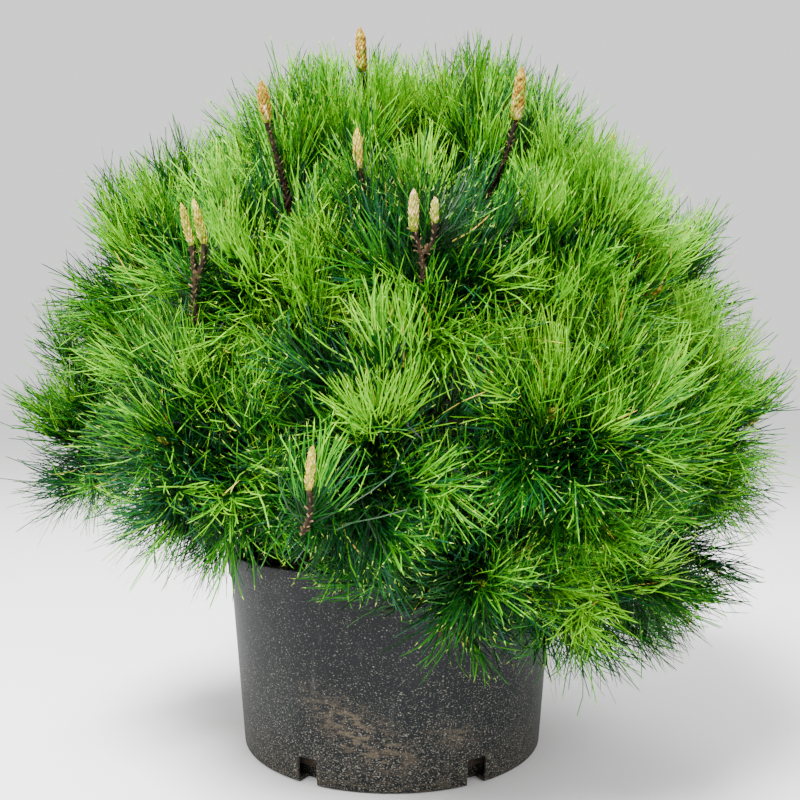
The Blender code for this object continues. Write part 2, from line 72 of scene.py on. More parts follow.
# The crown's layout, as in the solids.
CROWN_CENTRE = Vector((0.014, 0.0, 0.322))
CROWN_REACH = 0.362
LIMB_REACH = 0.146
HUB_REACH = 0.186
SITE_REACH = 0.25
TIP_GAP = 0.05
LIFT = 0.012
LOBE_FALL = 0.10
LOBE_ANGLE = 20.0
CELL_MARGIN = 0.0006
RINGS = (
    ("crest", 57, 0, 0, ((-32, 0.99), (30, 0.99), (98, 0.96), (170, 0.96), (-112, 0.96))),
    ("shoulder", 28, 0, 0, (
        (-66, 1.03), (-32, 0.98), (2, 0.95), (35, 0.99), (68, 0.99), (115, 1.0), (168, 1.0), (-134, 1.0),
    )),
    ("waist", 0, 3, -30, (
        (-74, 1.06), (-38, 0.98), (-4, 0.96), (32, 0.98), (68, 1.04), (112, 1.02), (162, 1.0), (-146, 1.0),
    )),
    ("skirt", -22, 4, 45, (
        (10, 0.93), (44, 0.99), (78, 1.04), (120, 0.95), (170, 0.92), (-138, 0.88), (-96, 0.84),
    )),
)
TOP_DIRECTION = (170, 82)
TOP_SHARE = 0.96
SEED = 7
GOLDEN_ANGLE = 137.508
FRONT_BRUSHES = (
    (-25, 44), (-9, 56), (17, 43), (-51, 31), (-57, 14), (-18, 19), (11, 12), (42, 19), (52, 6), (-50, -5),
    (-28, -10), (-12, -12), (20, 1), (52, -9), (22, -25), (31, -13), (12, -7), (-20, 4), (-38, 13), (26, 18),
    (31, -33), (-84, -33),
)
FILL_BRUSHES = ((3, 17), (-27, 22), (26, -2))
SHOOTS = 80
LOWEST_SINE = -0.66
BRUSH_ROOM = 14.0
RIM_VIEW = (-66, -6)
RIM_VIEW_LOWEST = -0.24
LOWEST_AZIMUTHS = (-180, -90, -62, -50, -25, 0, 15, 30, 60, 180)
LOWEST_ELEVATIONS = (-46, -48, -44, -27, -24, -33, -37, -41, -44, -46)
LOWEST_STRAY = 1.8
LEADER_ROOM = 9.0
WIDEST_ANGLE = 31.0
PULLS = (0.0, 0.12, 0.24, 0.36, 0.5)
LEVEL_LIFT = 0.6
LIFT_GAIN = 1.6
MOST_LIFT = 0.9

# Bud candles: azimuth and elevation of the tip, its reach, and the candle's length.
CANDLES = (
    (-29, 48, 0.362, 0.031),
    (-16, 66, 0.372, 0.036),
    (23, 51, 0.362, 0.040),
    (-8, 37, 0.352, 0.027),
    (-32.6, 27.4, 0.352, 0.031),
    (-31.0, 28.1, 0.350, 0.034),
    (0.2, 28, 0.345, 0.028),
    (2.9, 26.9, 0.345, 0.017),
    (-10.6, -1.8, 0.352, 0.029),
    (88, 54, 0.360, 0.036),
    (158, 52, 0.362, 0.040),
    (-120, 50, 0.362, 0.038),
    (126, 26, 0.356, 0.034),
)
CREAM_CANDLES = (6, 7)
GOLD_CANDLES = (3, 4, 5, 8)
TWINS = {5: 4, 7: 6}
TWIN_JOIN = 3
SLIM_CANDLES = {3: 0.72, 4: 0.64, 5: 0.68, 6: 0.76, 7: 0.62, 8: 0.64}
CANDLE_RADIUS = 0.0046
CANDLE_STEM = 0.062
CANDLE_STEM_RADIUS = 0.0018
CANDLE_STEM_SAG = 0.006
CANDLE_WAYS = {8: (0.10, -0.12, 1.0)}
STEM_ENDS = {
    0: (0.017, 0.010, -0.072), 2: (-0.024, 0.010, -0.060), 4: (0.0, 0.006, -0.058), 6: (0.006, 0.004, -0.034),
    8: (-0.0045, 0.004, -0.028),
}
CANDLE_VIEW = 0.0044
STEM_VIEW = 0.0022
FRONT_CANDLES = 9
SCALE_STEP = 0.00027
STUB_STEP = 0.0015
NEEDLES_PER_STEM = 130
BARE_STEM_POINTS = 2
BUD_CHANCE = 0.4
BUD_LENGTH = 0.013

# Limbs, as in the solids.
LEAVE_HEIGHTS = {"crest": 0.350, "shoulder": 0.300, "waist": 0.254, "skirt": 0.210}
LEAVE_STAGGER = 0.013
LEAVE_LEVELS = 3
STRAIGHT_TIP = 0.012
TRUNK_FOOT_RADIUS = 0.026
TRUNK_RADIUS = 0.017
TRUNK_TIP_RADIUS = 0.0062
FLARE_HEIGHT = 0.022
BOUGH_RADIUS = 0.0058
BOUGH_TIP_RADIUS = 0.0036

# Pot and soil, as in the solids.
POT_HEIGHT = 0.192
BAND_HEIGHT = 0.024
FOOT_RADIUS = 0.149
WALL_TOP_RADIUS = 0.1632
BAND_OUT = 0.0024
LIP_OUT = 0.0015
WALL = 0.0022
FLOOR = 0.003
FOOT_RING_WIDTH = 0.018
FLOOR_RISE = 0.007
PAD_RADIUS = 0.014
SLOT_COUNT = 6
SLOT_FIRST = 30.0
SLOT_WIDTH = 0.0195
SLOT_HEIGHT = 0.024
SOIL_TOP = 0.171

# Camera, worked out from the photograph.
CAMERA_DISTANCE = 0.9075
CAMERA_HEIGHT = 0.34
FOCAL_PIXELS = 880.0
PICTURE_PIXELS = 800.0
SENSOR_MM = 36.0
AXIS_PIXEL = 392.0


def linear(code):
    """A Principled colour from an sRGB hex code."""
    parts = [int(code[i:i + 2], 16) / 255 for i in (0, 2, 4)]
    return tuple(c / 12.92 if c <= 0.04045 else ((c + 0.055) / 1.055) ** 2.4 for c in parts) + (1.0,)


class Graph:
    """A node tree and one short way to add a node to it."""

    def __init__(self, tree):
        self.tree = tree

    def add(self, kind, inputs=None, **settings):
        """A node with its settings; an input is a constant or another node's output socket."""
        node = self.tree.nodes.new(kind)
        for name, value in settings.items():
            setattr(node, name, value)
        for key, value in (inputs or {}).items():
            if isinstance(value, bpy.types.NodeSocket):
                self.tree.links.new(value, node.inputs[key])
            else:
                node.inputs[key].default_value = value
        return node


def new_material(name):
    """An empty node material, its graph and its Principled shader."""
    made = bpy.data.materials.new(name)
    made.use_nodes = True
    tree = made.node_tree
    tree.nodes.clear()
    graph = Graph(tree)
    shader = graph.add("ShaderNodeBsdfPrincipled")
    output = graph.add("ShaderNodeOutputMaterial")
    tree.links.new(shader.outputs["BSDF"], output.inputs["Surface"])
    return made, graph, shader


def wire(graph, socket, shader, name):
    graph.tree.links.new(socket, shader.inputs[name])


def noise_at(graph, size, detail=3.0, roughness=0.55, stretch=(1.0, 1.0, 1.0)):
    """Noise over the object's own coordinates, whose features measure size metres."""
    place = graph.add("ShaderNodeTexCoord").outputs["Object"]
    mapped = graph.add("ShaderNodeMapping", {"Vector": place, "Scale": stretch}).outputs["Vector"]
    settings = {"Vector": mapped, "Scale": 1.0 / size, "Detail": detail, "Roughness": roughness}
    return graph.add("ShaderNodeTexNoise", settings).outputs["Fac"]


def ramp(graph, fac, stops, smooth=False):
    """A colour ramp with (position, colour) stops."""
    node = graph.add("ShaderNodeValToRGB", {"Fac": fac})
    elements = node.color_ramp.elements
    node.color_ramp.interpolation = "EASE" if smooth else "LINEAR"
    while len(elements) < len(stops):
        elements.new(0.5)
    for element, (position, colour) in zip(elements, stops):
        element.position = position
        element.color = colour
    return node.outputs["Color"]


def level(graph, fac, low, high, to_low=0.0, to_high=1.0):
    """Maps a value from one range to another, clamped."""
    settings = {"Value": fac, "From Min": low, "From Max": high, "To Min": to_low, "To Max": to_high}
    return graph.add("ShaderNodeMapRange", settings).outputs["Result"]


def mixed(graph, fac, first, second, blend="MIX"):
    node = graph.add("ShaderNodeMix", data_type="RGBA", blend_type=blend)
    for name, value in (("Factor", fac), ("A", first), ("B", second)):
        sockets = [s for s in node.inputs if s.name == name and (name == "Factor") == (s.type == "VALUE")]
        socket = next(s for s in sockets if s.enabled)
        if isinstance(value, bpy.types.NodeSocket):
            graph.tree.links.new(value, socket)
        else:
            socket.default_value = value
    return next(s for s in node.outputs if s.type == "RGBA")


def bump(graph, shader, height, strength, distance):
    node = graph.add("ShaderNodeBump", {"Height": height, "Strength": strength, "Distance": distance})
    wire(graph, node.outputs["Normal"], shader, "Normal")


def needle_material(name, dark, fresh, tip):
    """Satin pine needles: one green, drifting between two shades along each brush, with pale flecks painted on at
    random as highlights.
    """
    made, graph, shader = new_material(name)
    broad = level(graph, noise_at(graph, 0.05), 0.36, 0.64)
    # The fine noise paints pale flecks of the third colour as highlights, a little glossier there.
    fine = level(graph, noise_at(graph, 0.004, 2.0), 0.6, 0.78)
    body = mixed(graph, broad, linear(dark), linear(fresh))
    wire(graph, mixed(graph, fine, body, linear(tip)), shader, "Base Color")
    wire(graph, level(graph, fine, 0.0, 1.0, 0.42, 0.34), shader, "Roughness")
    shader.inputs["Specular IOR Level"].default_value = 0.1
    return made


def bark_material():
    """Young pine bark: grey-brown scales with darker seams."""
    made, graph, shader = new_material("young_pine_bark_scaly")
    broad = noise_at(graph, 0.012, 4.0, stretch=(1.0, 1.0, 0.6))
    place = graph.add("ShaderNodeTexCoord").outputs["Object"]
    cells = graph.add("ShaderNodeTexVoronoi", {"Vector": place, "Scale": 1 / 0.005}, feature="DISTANCE_TO_EDGE")
    seams = level(graph, cells.outputs["Distance"], 0.0, 0.12)
    body = ramp(graph, broad, ((0.3, linear("3A2C20")), (0.55, linear("5B4735")), (0.8, linear("85705A"))))
    wire(graph, mixed(graph, seams, linear("1F1610"), body), shader, "Base Color")
    shader.inputs["Roughness"].default_value = 0.86
    bump(graph, shader, seams, 0.6, 0.0008)
    return made


def twig_material():
    """Green-brown twigs, rough with the bases of old needles."""
    made, graph, shader = new_material("pine_twig_rough")
    tone = noise_at(graph, 0.009, 4.0)
    body = ramp(graph, tone, ((0.3, linear("0E0A06")), (0.55, linear("241A10")), (0.78, linear("4A3A24"))))
    wire(graph, body, shader, "Base Color")
    shader.inputs["Roughness"].default_value = 0.8
    shader.inputs["Specular IOR Level"].default_value = 0.15
    bump(graph, shader, noise_at(graph, 0.0012, 2.0), 0.5, 0.0006)
    return made


def candle_material(name, low, middle, high):
    """Papery bud scales, mottled between three tones."""
    made, graph, shader = new_material(name)
    tone = noise_at(graph, 0.003, 3.0)
    body = ramp(graph, tone, ((0.3, linear(low)), (0.5, linear(middle)), (0.72, linear(high))))
    wire(graph, body, shader, "Base Color")
    shader.inputs["Roughness"].default_value = 0.62
    shader.inputs["Specular IOR Level"].default_value = 0.15
    bump(graph, shader, noise_at(graph, 0.0008, 2.0), 0.35, 0.0004)
    return made


def pot_material():
    """Recycled slate-grey polypropylene: fine pale specks, scuffs, and streaky dried mud low at the front."""
    made, graph, shader = new_material("recycled_grey_polypropylene")
    place = graph.add("ShaderNodeTexCoord").outputs["Object"]
    parts = graph.add("ShaderNodeSeparateXYZ", {"Vector": place})
    broad = noise_at(graph, 0.07, 4.0)
    body = ramp(graph, broad, ((0.3, linear("0C0F11")), (0.55, linear("121517")), (0.78, linear("1E2020"))))
    lowness = level(graph, parts.outputs["Z"], 0.13, 0.0)
    specks = noise_at(graph, 0.0016, 2.0, 0.7, (1.0, 1.0, 1.5))
    threshold = graph.add("ShaderNodeMath", {0: lowness, 1: 0.07}, operation="MULTIPLY").outputs["Value"]
    raised = graph.add("ShaderNodeMath", {0: specks, 1: threshold}, operation="ADD").outputs["Value"]
    speck_mask = level(graph, raised, 0.62, 0.7)
    speckled = mixed(graph, speck_mask, body, linear("7E7C72"))
    streaks = noise_at(graph, 0.006, 3.0, 0.6, (1.0, 1.0, 0.12))
    scuffed = mixed(graph, level(graph, streaks, 0.6, 0.78, 0.0, 0.3), speckled, linear("4C4C49"))
    muddy = dirt_patch(graph, parts)
    grime = level(graph, noise_at(graph, 0.004, 5.0, 0.75, (0.35, 0.35, 1.0)), 0.46, 0.6)
    dirt = graph.add("ShaderNodeMath", {0: muddy, 1: grime}, operation="MULTIPLY").outputs["Value"]
    wire(graph, mixed(graph, dirt, scuffed, linear("5A5042")), shader, "Base Color")
    rough = graph.add("ShaderNodeMath", {0: dirt, 1: speck_mask}, operation="MAXIMUM").outputs["Value"]
    wire(graph, level(graph, rough, 0.0, 1.0, 0.55, 0.85), shader, "Roughness")
    height = graph.add("ShaderNodeMath", {0: specks, 1: broad}, operation="ADD").outputs["Value"]
    shader.inputs["Specular IOR Level"].default_value = 0.14
    bump(graph, shader, height, 0.18, 0.0006)
    return made


def patch(graph, parts, middle, half_sizes, tilt):
    """A mask round a spot (x, z) on the front of the wall: an ellipse, tilted by an angle in degrees."""
    placed = graph.add("ShaderNodeCombineXYZ", {"X": parts.outputs["X"], "Y": parts.outputs["Z"], "Z": 0.0})
    turned = graph.add("ShaderNodeMapping", {
        "Vector": placed.outputs["Vector"],
        "Location": (middle[0], middle[1], 0.0),
        "Rotation": (0.0, 0.0, math.radians(tilt)),
        "Scale": (half_sizes[0], half_sizes[1], 1.0),
    }, vector_type="TEXTURE")
    far = graph.add("ShaderNodeVectorMath", {0: turned.outputs["Vector"]}, operation="LENGTH")
    return level(graph, far.outputs["Value"], 1.3, 0.3)


def dirt_patch(graph, parts):
    """Dried mud: a long patch that falls to the right, a small one right of it, and a little along the foot."""
    long_patch = patch(graph, parts, (-0.024, 0.050), (0.060, 0.022), -33)
    small_patch = patch(graph, parts, (0.056, 0.048), (0.028, 0.014), -10)
    small_patch = graph.add("ShaderNodeMath", {0: small_patch, 1: 0.5}, operation="MULTIPLY").outputs["Value"]
    both = graph.add("ShaderNodeMath", {0: long_patch, 1: small_patch}, operation="MAXIMUM").outputs["Value"]
    front = level(graph, parts.outputs["Y"], -0.02, -0.08)
    front_patch = graph.add("ShaderNodeMath", {0: both, 1: front}, operation="MULTIPLY").outputs["Value"]
    foot = level(graph, parts.outputs["Z"], 0.05, 0.0, 0.0, 0.4)
    return graph.add("ShaderNodeMath", {0: front_patch, 1: foot}, operation="MAXIMUM").outputs["Value"]


def soil_material():
    """Damp dark peat with lighter crumbs of bark."""
    made, graph, shader = new_material("damp_peat_soil")
    tone = noise_at(graph, 0.004, 5.0, 0.65)
    body = ramp(graph, tone, ((0.35, linear("17100B")), (0.55, linear("2E2016")), (0.75, linear("5A4430"))))
    wire(graph, body, shader, "Base Color")
    shader.inputs["Roughness"].default_value = 0.95
    bump(graph, shader, tone, 0.8, 0.002)
    return made


def add_object(name, mesh, finish, nodes=()):
    """A finished piece: it rides on the one body, has its material and stands for its nodes."""
    obj = bpy.data.objects.new(name, mesh)
    bpy.context.scene.collection.objects.link(obj)
    mesh.materials.clear()
    mesh.materials.append(finish)
    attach(obj, "root")
    if nodes:
        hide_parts(*nodes)
    return obj


def mesh_from_arrays(name, points, triangles, smooth=True):
    """A triangle mesh straight from numpy arrays."""
    mesh = bpy.data.meshes.new(name)
    mesh.vertices.add(len(points))
    mesh.vertices.foreach_set("co", points.astype(np.float32).ravel())
    mesh.loops.add(len(triangles) * 3)
    mesh.loops.foreach_set("vertex_index", triangles.astype(np.int32).ravel())
    mesh.polygons.add(len(triangles))
    mesh.polygons.foreach_set("loop_start", np.arange(len(triangles), dtype=np.int32) * 3)
    mesh.update(calc_edges=True)
    mesh.validate()
    mesh.polygons.foreach_set("use_smooth", np.full(len(mesh.polygons), smooth))
    return mesh


def evaluated_mesh(obj):
    """The object's mesh with its modifiers in it."""
    bpy.context.view_layer.update()
    graph = bpy.context.evaluated_depsgraph_get()
    return bpy.data.meshes.new_from_object(obj.evaluated_get(graph))


def direction(azimuth, elevation):
    """The unit vector at an azimuth from the front and an elevation, both in degrees."""
    turn, rise = math.radians(azimuth), math.radians(elevation)
    return Vector((math.sin(turn) * math.cos(rise), -math.cos(turn) * math.cos(rise), math.sin(rise)))


def bend_line(start, control, end, steps):
    """Points along the arc from start to end that leans towards control."""
    points = []
    for i in range(steps + 1):
        t = i / steps
        points.append(start * (1 - t) ** 2 + control * (2 * t * (1 - t)) + end * t * t)
    return points


def across(u):
    """Two unit vectors square to u, the first of them level."""
    flat = UP.cross(u)
    flat = flat.normalized() if flat.length > 1e-3 else Vector((1, 0, 0))
    return flat, u.cross(flat).normalized()


def masses():
    """Every foliage mass, by the same seeded rule as the solids."""
    found = [{
        "name": "foliage_top",
        "ring": "top",
        "u": direction(*TOP_DIRECTION),
        "reach": CROWN_REACH * TOP_SHARE,
    }]
    for ring, elevation, droop, lowest, places in RINGS:
        for number, (azimuth, share) in enumerate(places, 1):
            chance = random.Random(f"{SEED} {ring} {number}")
            height = elevation - droop * math.cos(math.radians(azimuth - lowest)) + chance.uniform(-2, 2)
            found.append({
                "name": f"foliage_{ring}_{number}",
                "ring": ring,
                "u": direction(azimuth + chance.uniform(-1.5, 1.5), height),
                "reach": CROWN_REACH * share,
            })
    for mass in found:
        mass["planes"] = cell_planes(mass, found)
        mass["headings"] = [mass["u"]]
        mass["shoots"] = [shoot_line(mass, mass["u"])]
    for heading in crown_headings():
        mass = max(found, key=lambda one: one["u"].dot(heading))
        apart = math.degrees(mass["u"].angle(heading))
        if LEADER_ROOM < apart < WIDEST_ANGLE:
            add_fitted_shoot(mass, heading)
    for place in FILL_BRUSHES:
        heading = direction(*place)
        add_fitted_shoot(max(found, key=lambda one: one["u"].dot(heading)), heading)
    return found


def crown_headings():
    """The front brushes' directions, then a golden-angle spiral from the top down that stays clear of them."""
    front = [direction(*place) for place in FRONT_BRUSHES]
    found = list(front)
    for i in range(SHOOTS):
        sine = 1 - (i + 0.5) * (1 - LOWEST_SINE) / SHOOTS
        heading = direction(GOLDEN_ANGLE * i, math.degrees(math.asin(sine)))
        apart = min(heading.angle(brush) for brush in front)
        if apart > math.radians(BRUSH_ROOM) and not hides_rim(heading):
            found.append(heading)
    return found


def hides_rim(heading):
    """True low at the front left, where the crown is undercut and the pot's rim shows."""
    azimuth = math.degrees(math.atan2(heading.x, -heading.y))
    return RIM_VIEW[0] < azimuth < RIM_VIEW[1] and heading.z < RIM_VIEW_LOWEST


def cell_planes(mass, everyone):
    """The flat walls between a mass and the others: a point and a normal each, the normal facing out."""
    site = CROWN_CENTRE + mass["u"] * SITE_REACH
    planes = []
    for other in everyone:
        if other is not mass:
            far = CROWN_CENTRE + other["u"] * SITE_REACH
            normal = (far - site).normalized()
            planes.append(((site + far) / 2 - normal * CELL_MARGIN, normal))
    return planes


def inside_cell(point, planes, margin=0.0):
    return all((point - on).dot(normal) < -margin for on, normal in planes)


def clear_of_pot(point, margin):
    lip = WALL_TOP_RADIUS + BAND_OUT + LIP_OUT
    return point.z > POT_HEIGHT + margin or math.hypot(point.x, point.y) > lip + margin


def line_fits(line, planes, margin):
    samples = [line[i].lerp(line[i + 1], t / 4) for i in range(len(line) - 1) for t in range(5)]
    return all(inside_cell(point, planes, margin) and clear_of_pot(point, 0.008) for point in samples)


def local_reach(mass, heading):
    """How far the mass reaches along a heading: each mass is a lobe, lower towards its sides."""
    apart = math.degrees(mass["u"].angle(heading))
    return mass["reach"] * (1 - LOBE_FALL * min(1.5, apart / LOBE_ANGLE) ** 2)


def shoot_line(mass, heading):
    """The centreline of a shoot, from the mass's hub to the shoot's tip."""
    hub = CROWN_CENTRE + mass["u"] * HUB_REACH
    reach = local_reach(mass, heading) - TIP_GAP
    end = CROWN_CENTRE + heading * reach + UP * LIFT * max(0.0, heading.z)
    outward = (heading - mass["u"] * 0.6) * 0.03 - UP * 0.004
    return bend_line(hub, hub.lerp(end, 0.5) + outward, end, 6)


def add_fitted_shoot(mass, heading):
    """Adds a shoot on a heading, pulled in towards the mass's own as far as it needs; none if it never fits."""
    for pull in PULLS:
        pulled = (heading * (1 - pull) + mass["u"] * pull).normalized()
        line = shoot_line(mass, pulled)
        if line_fits(line, mass["planes"], 0.004):
            mass["headings"].append(pulled)
            mass["shoots"].append(line)
            return


def finer_twigs(mass):
    """The next order of twigs: they fork off the shoots and round out each brush."""
    chance = random.Random(f"{SEED} finer {mass['name']}")
    found = []
    for heading, line in zip(mass["headings"], mass["shoots"]):
        flat, rise = across(heading)
        first = chance.uniform(0, 360)
        for k in range(TWIGS_PER_SHOOT):
            turn = math.radians(first + 360 * k / TWIGS_PER_SHOOT + chance.uniform(-20, 20))
            side = flat * math.cos(turn) + rise * math.sin(turn)
            fork = line[3].lerp(line[4], chance.random())
            gap = TWIG_GAP + TWIG_GAP_SPREAD * chance.random()
            for spread in TWIG_SPREADS[k % 2:]:
                way = (heading + side * math.tan(math.radians(spread))).normalized()
                end = CROWN_CENTRE + way * (local_reach(mass, way) - gap) + UP * LIFT * max(0.0, way.z)
                twig = bend_line(fork, fork.lerp(end, 0.5) + side * 0.006, end, 4)
                if line_fits(twig, mass["planes"], 0.001):
                    found.append(twig)
                    break
    return found


# Needles
TWIGS_PER_SHOOT = 8
TWIG_SPREADS = (15.0, 11.0, 8.0, 5.0, 3.5)
TWIG_GAP = 0.040
TWIG_GAP_SPREAD = 0.024
NEEDLES_PER_SHOOT = 190
NEEDLES_PER_TWIG = 152
NEEDLES_INSIDE = 26
NEEDLE_LENGTH = 0.066
NEEDLE_WIDTH = 0.00096
INSIDE_WIDTH = 0.0017
NEEDLE_ROOT_SPAN = 0.054
INSIDE_ROOT_SPAN = 0.14
NEEDLE_BOW = 25.0
NEEDLE_CLOSING = 7.0
NEEDLE_RISE = 0.3
NEEDLE_STRAY = 0.36
NEEDLE_POINT = 0.004
NEEDLE_SPIN = 0.5
# Share of needles whose points are painted pale as highlights.
HIGHLIGHT_POINT_SHARE = 0.3
BRUSH_TILT = 0.22
NEEDLE_ROWS = (0.0, 0.36, 0.7, 0.96)
NEEDLE_ROW_WIDTHS = (0.85, 1.0, 1.0, 0.8)
# The first six tints are one green in painted light and shade, from sunlit to deep shade, picked by each needle's
# painted light level with some random spread; every tint's third colour is painted on in pale flecks as highlights.
# Bluish and straw needles are their own colours.
NEEDLE_TINTS = (
    ("needles_sunlit", "509A08", "7ABC1A", "C4F058"),
    ("needles_lime", "388608", "589E14", "A0DC4C"),
    ("needles_fresh", "246408", "3C8612", "7CC440"),
    ("needles_grass", "145008", "266C12", "58A430"),
    ("needles_green", "0A3A08", "165212", "3E8430"),
    ("needles_deep", "042206", "0A360A", "1E521C"),
    ("needles_bluish", "0A3420", "184E30", "3C7E58"),
    ("needles_straw", "A89030", "CCB448", "ECD888"),
)
TINT_EDGES = (-0.62, -0.36, -0.1, 0.18, 0.48)
BLUISH, STRAW = 6, 7
BLUISH_MOST = 0.5
STRAW_SHARE = 0.004
LIGHT_TO_LEVEL = 0.42
NEEDLE_MIX = 0.3
# Colours of the needle points painted pale as highlights.
HIGHLIGHT_POINT_TINT = ("7CA830", "ACD050", "E0F0A0")
# Painted shade: dark greens for the lower part of every needle, standing in for the shade deep inside each brush.
SHADED_BASE_TINTS = (
    ("needle_bases_green", "042C04", "0C480A", "286818"),
    ("needle_bases_deep", "011403", "042606", "104214"),
)
BRIGHT_TINTS = 4
# Painted shade: near-black for the short needles inside each brush, standing in for the shade in its depth.
INSIDE_SHADE_TINT = ("needles_inside", "010802", "031403", "082208")
# Painted light and shade: each needle's light level is raised high in the crown, at the shoot's tip, towards the left
# and on the top of each mass. It is lowered on the long outline needles and on the candle stems' needles but one.
TIP_LIGHT = 4.6
TIP_MIDDLE = 0.6
LIGHT_LEVEL = 0.0
LIGHT_GAIN = 1.7
FAR_FROM = 0.95
FAR_SHADE = 2.0
STEM_SHADE = 0.7
STEM_LIGHT = 1.4
LIT_STEM = 8
FAR_BEHIND = -0.45
LEFT_LIGHT = 0.05
LOBE_RISE = 0.05
LOBE_LIGHT = 0.7
SPOT_WIDTH = 7.0
# Spots of painted light (positive gain) and painted shade (negative gain): azimuth, elevation and gain, spread over
# SPOT_WIDTH degrees.
LIGHT_SPOTS = (
    (-23, 37, -2.3), (-10, 30, -2.4), (-2, 24, -3.2), (4, 29, -1.6), (10, 31, -3.4), (-41, 12, -2.8),
    (-47, -2, -2.4), (-18, 0, -2.5), (-10, 8, -3.4), (-14, -12, -1.6), (-2, 3, 2.1), (10, 0, -3.0),
    (20, 2, 2.4), (2, 18, 1.4), (-21, 24, 2.5), (29, -25, 2.3), (2, -20, -1.6), (31, 8, -0.3), (-55, 46, -1.6),
    (45, -20, -1.0), (10, -30, -1.2), (62, 12, 1.6), (76, 18, 1.4), (36, -28, 1.4), (46, 20, 1.0), (28, 32, 1.8),
    (37, 41, 1.2), (-26, 20, 1.2), (-70, 0, 1.8), (17, -10, -1.6), (62, 50, 1.0), (-68, 30, 0.9),
)


def unit(rows):
    return rows / np.linalg.norm(rows, axis=1)[:, None]


def along_line(line, back):
    """Points and unit directions at distances back from a line's tip."""
    axis = np.array([tuple(point) for point in line])
    steps = np.linalg.norm(np.diff(axis, axis=0), axis=1)
    marks = np.concatenate(([0.0], np.cumsum(steps)))
    place = np.maximum(marks[-1] - back, 0.0)
    root = np.stack([np.interp(place, marks, axis[:, k]) for k in range(3)], axis=1)
    index = np.clip(np.searchsorted(marks, place) - 1, 0, len(steps) - 1)
    return root, (np.diff(axis, axis=0) / steps[:, None])[index]


def turned_up(way):
    """Brushes turn up to the light, but not those that hang."""
    lift = np.clip(LEVEL_LIFT + LIFT_GAIN * way[:, 2], 0.0, MOST_LIFT)
    return unit(way + np.array([0.0, 0.0, 1.0]) * lift[:, None])


def brush_arrays(line, count, reach, chance):
    """Root, first heading, last heading and length of the needles round a shoot's outer end, with t along it."""
    t = np.sort(chance.random(count)) ** 0.85
    span = min(NEEDLE_ROOT_SPAN, sum((b - a).length for a, b in zip(line, line[1:])))
    root, way = along_line(line, (1 - t) * span)
    way = unit(turned_up(way) + chance.normal(0, BRUSH_TILT, 3))
    flat = np.cross(np.array([0.0, 0.0, 1.0]), way)
    flat[np.linalg.norm(flat, axis=1) < 1e-3] = (1.0, 0.0, 0.0)
    flat = unit(flat)
    rise = np.cross(way, flat)
    turn = np.radians(GOLDEN_ANGLE) * (np.arange(count) // 2) + chance.normal(0, 0.2, count)
    side = flat * np.cos(turn)[:, None] + rise * np.sin(turn)[:, None]
    lean = np.radians(50 - 43 * t ** 1.5 + chance.normal(0, 9, count))
    bow = np.radians(NEEDLE_BOW * chance.normal(0.0, 1.0, count) + NEEDLE_CLOSING)
    stray = chance.normal(0, NEEDLE_STRAY, (count, 3)) + np.array([0.0, 0.0, NEEDLE_RISE])

    def heading(angle):
        return unit(way * np.cos(angle)[:, None] + side * np.sin(angle)[:, None])

    first = heading(lean + bow)
    last = unit(heading(lean - bow) + stray)
    length = NEEDLE_LENGTH * chance.uniform(0.78, 1.08, count)
    tip = root + (first + last) * (length / 2)[:, None]
    centre = np.array(tuple(CROWN_CENTRE))
    over = np.linalg.norm(tip - centre, axis=1) / (reach * (0.97 + 0.16 * chance.random(count) ** 2))
    length *= np.where(over > 1.0, np.clip(1 - (over - 1) * 4.0, 0.5, 1.0), 1.0)
    return root, first, last, length, t


def inside_arrays(line, count, chance):
    """Short needles in near-black painted shade that fill a brush behind its outer ones."""
    back = chance.uniform(0.03, INSIDE_ROOT_SPAN, count)
    root, way = along_line(line, back)
    first = unit(way * 0.5 + unit(chance.normal(0, 1, (count, 3))))
    last = unit(first + chance.normal(0, 0.25, (count, 3)))
    return root, first, last, chance.uniform(0.035, 0.06, count)


def free_of_pot(points, margin):
    """True where points are clear of the pot and everything in it."""
    lip = WALL_TOP_RADIUS + BAND_OUT + LIP_OUT
    return (points[:, 2] > POT_HEIGHT + margin) | (np.hypot(points[:, 0], points[:, 1]) > lip + margin)


def above_skirt(points, stray):
    """True where points are above the crown's lower edge, which leaves the rim in view at the front left."""
    offset = points - np.array(tuple(CROWN_CENTRE))
    azimuth = np.degrees(np.arctan2(offset[:, 0], -offset[:, 1]))
    elevation = np.degrees(np.arctan2(offset[:, 2], np.hypot(offset[:, 0], offset[:, 1])))
    return elevation > np.interp(azimuth, LOWEST_AZIMUTHS, LOWEST_ELEVATIONS) + stray


def inside_box(points, low, high):
    return ((points > low) & (points < high)).all(axis=1)


def needle_points(root, first, last, length, width, chance):
    """Nine points of every needle: a bowed blade of full width nearly to its point, its flat side turned out."""
    count = len(root)
    rows = []
    for t in NEEDLE_ROWS:
        rows.append(root + (first * (t - t * t / 2) + last * (t * t / 2)) * length[:, None])
    way = unit(rows[-1] - root)
    outward = root - np.array(tuple(CROWN_CENTRE)) + np.array([0.0, 0.0, 0.12])
    flat = unit(np.cross(way, outward))
    rise = np.cross(way, flat)
    spin = chance.normal(0, NEEDLE_SPIN, count)
    edge = flat * np.cos(spin)[:, None] + rise * np.sin(spin)[:, None]
    width = width * chance.uniform(0.85, 1.15, count) / 2
    points = np.empty((count, 9, 3))
    for k, share in enumerate(NEEDLE_ROW_WIDTHS):
        points[:, 2 * k] = rows[k] - edge * (width * share)[:, None]
        points[:, 2 * k + 1] = rows[k] + edge * (width * share)[:, None]
    points[:, 8] = rows[3] + last * NEEDLE_POINT
    return points


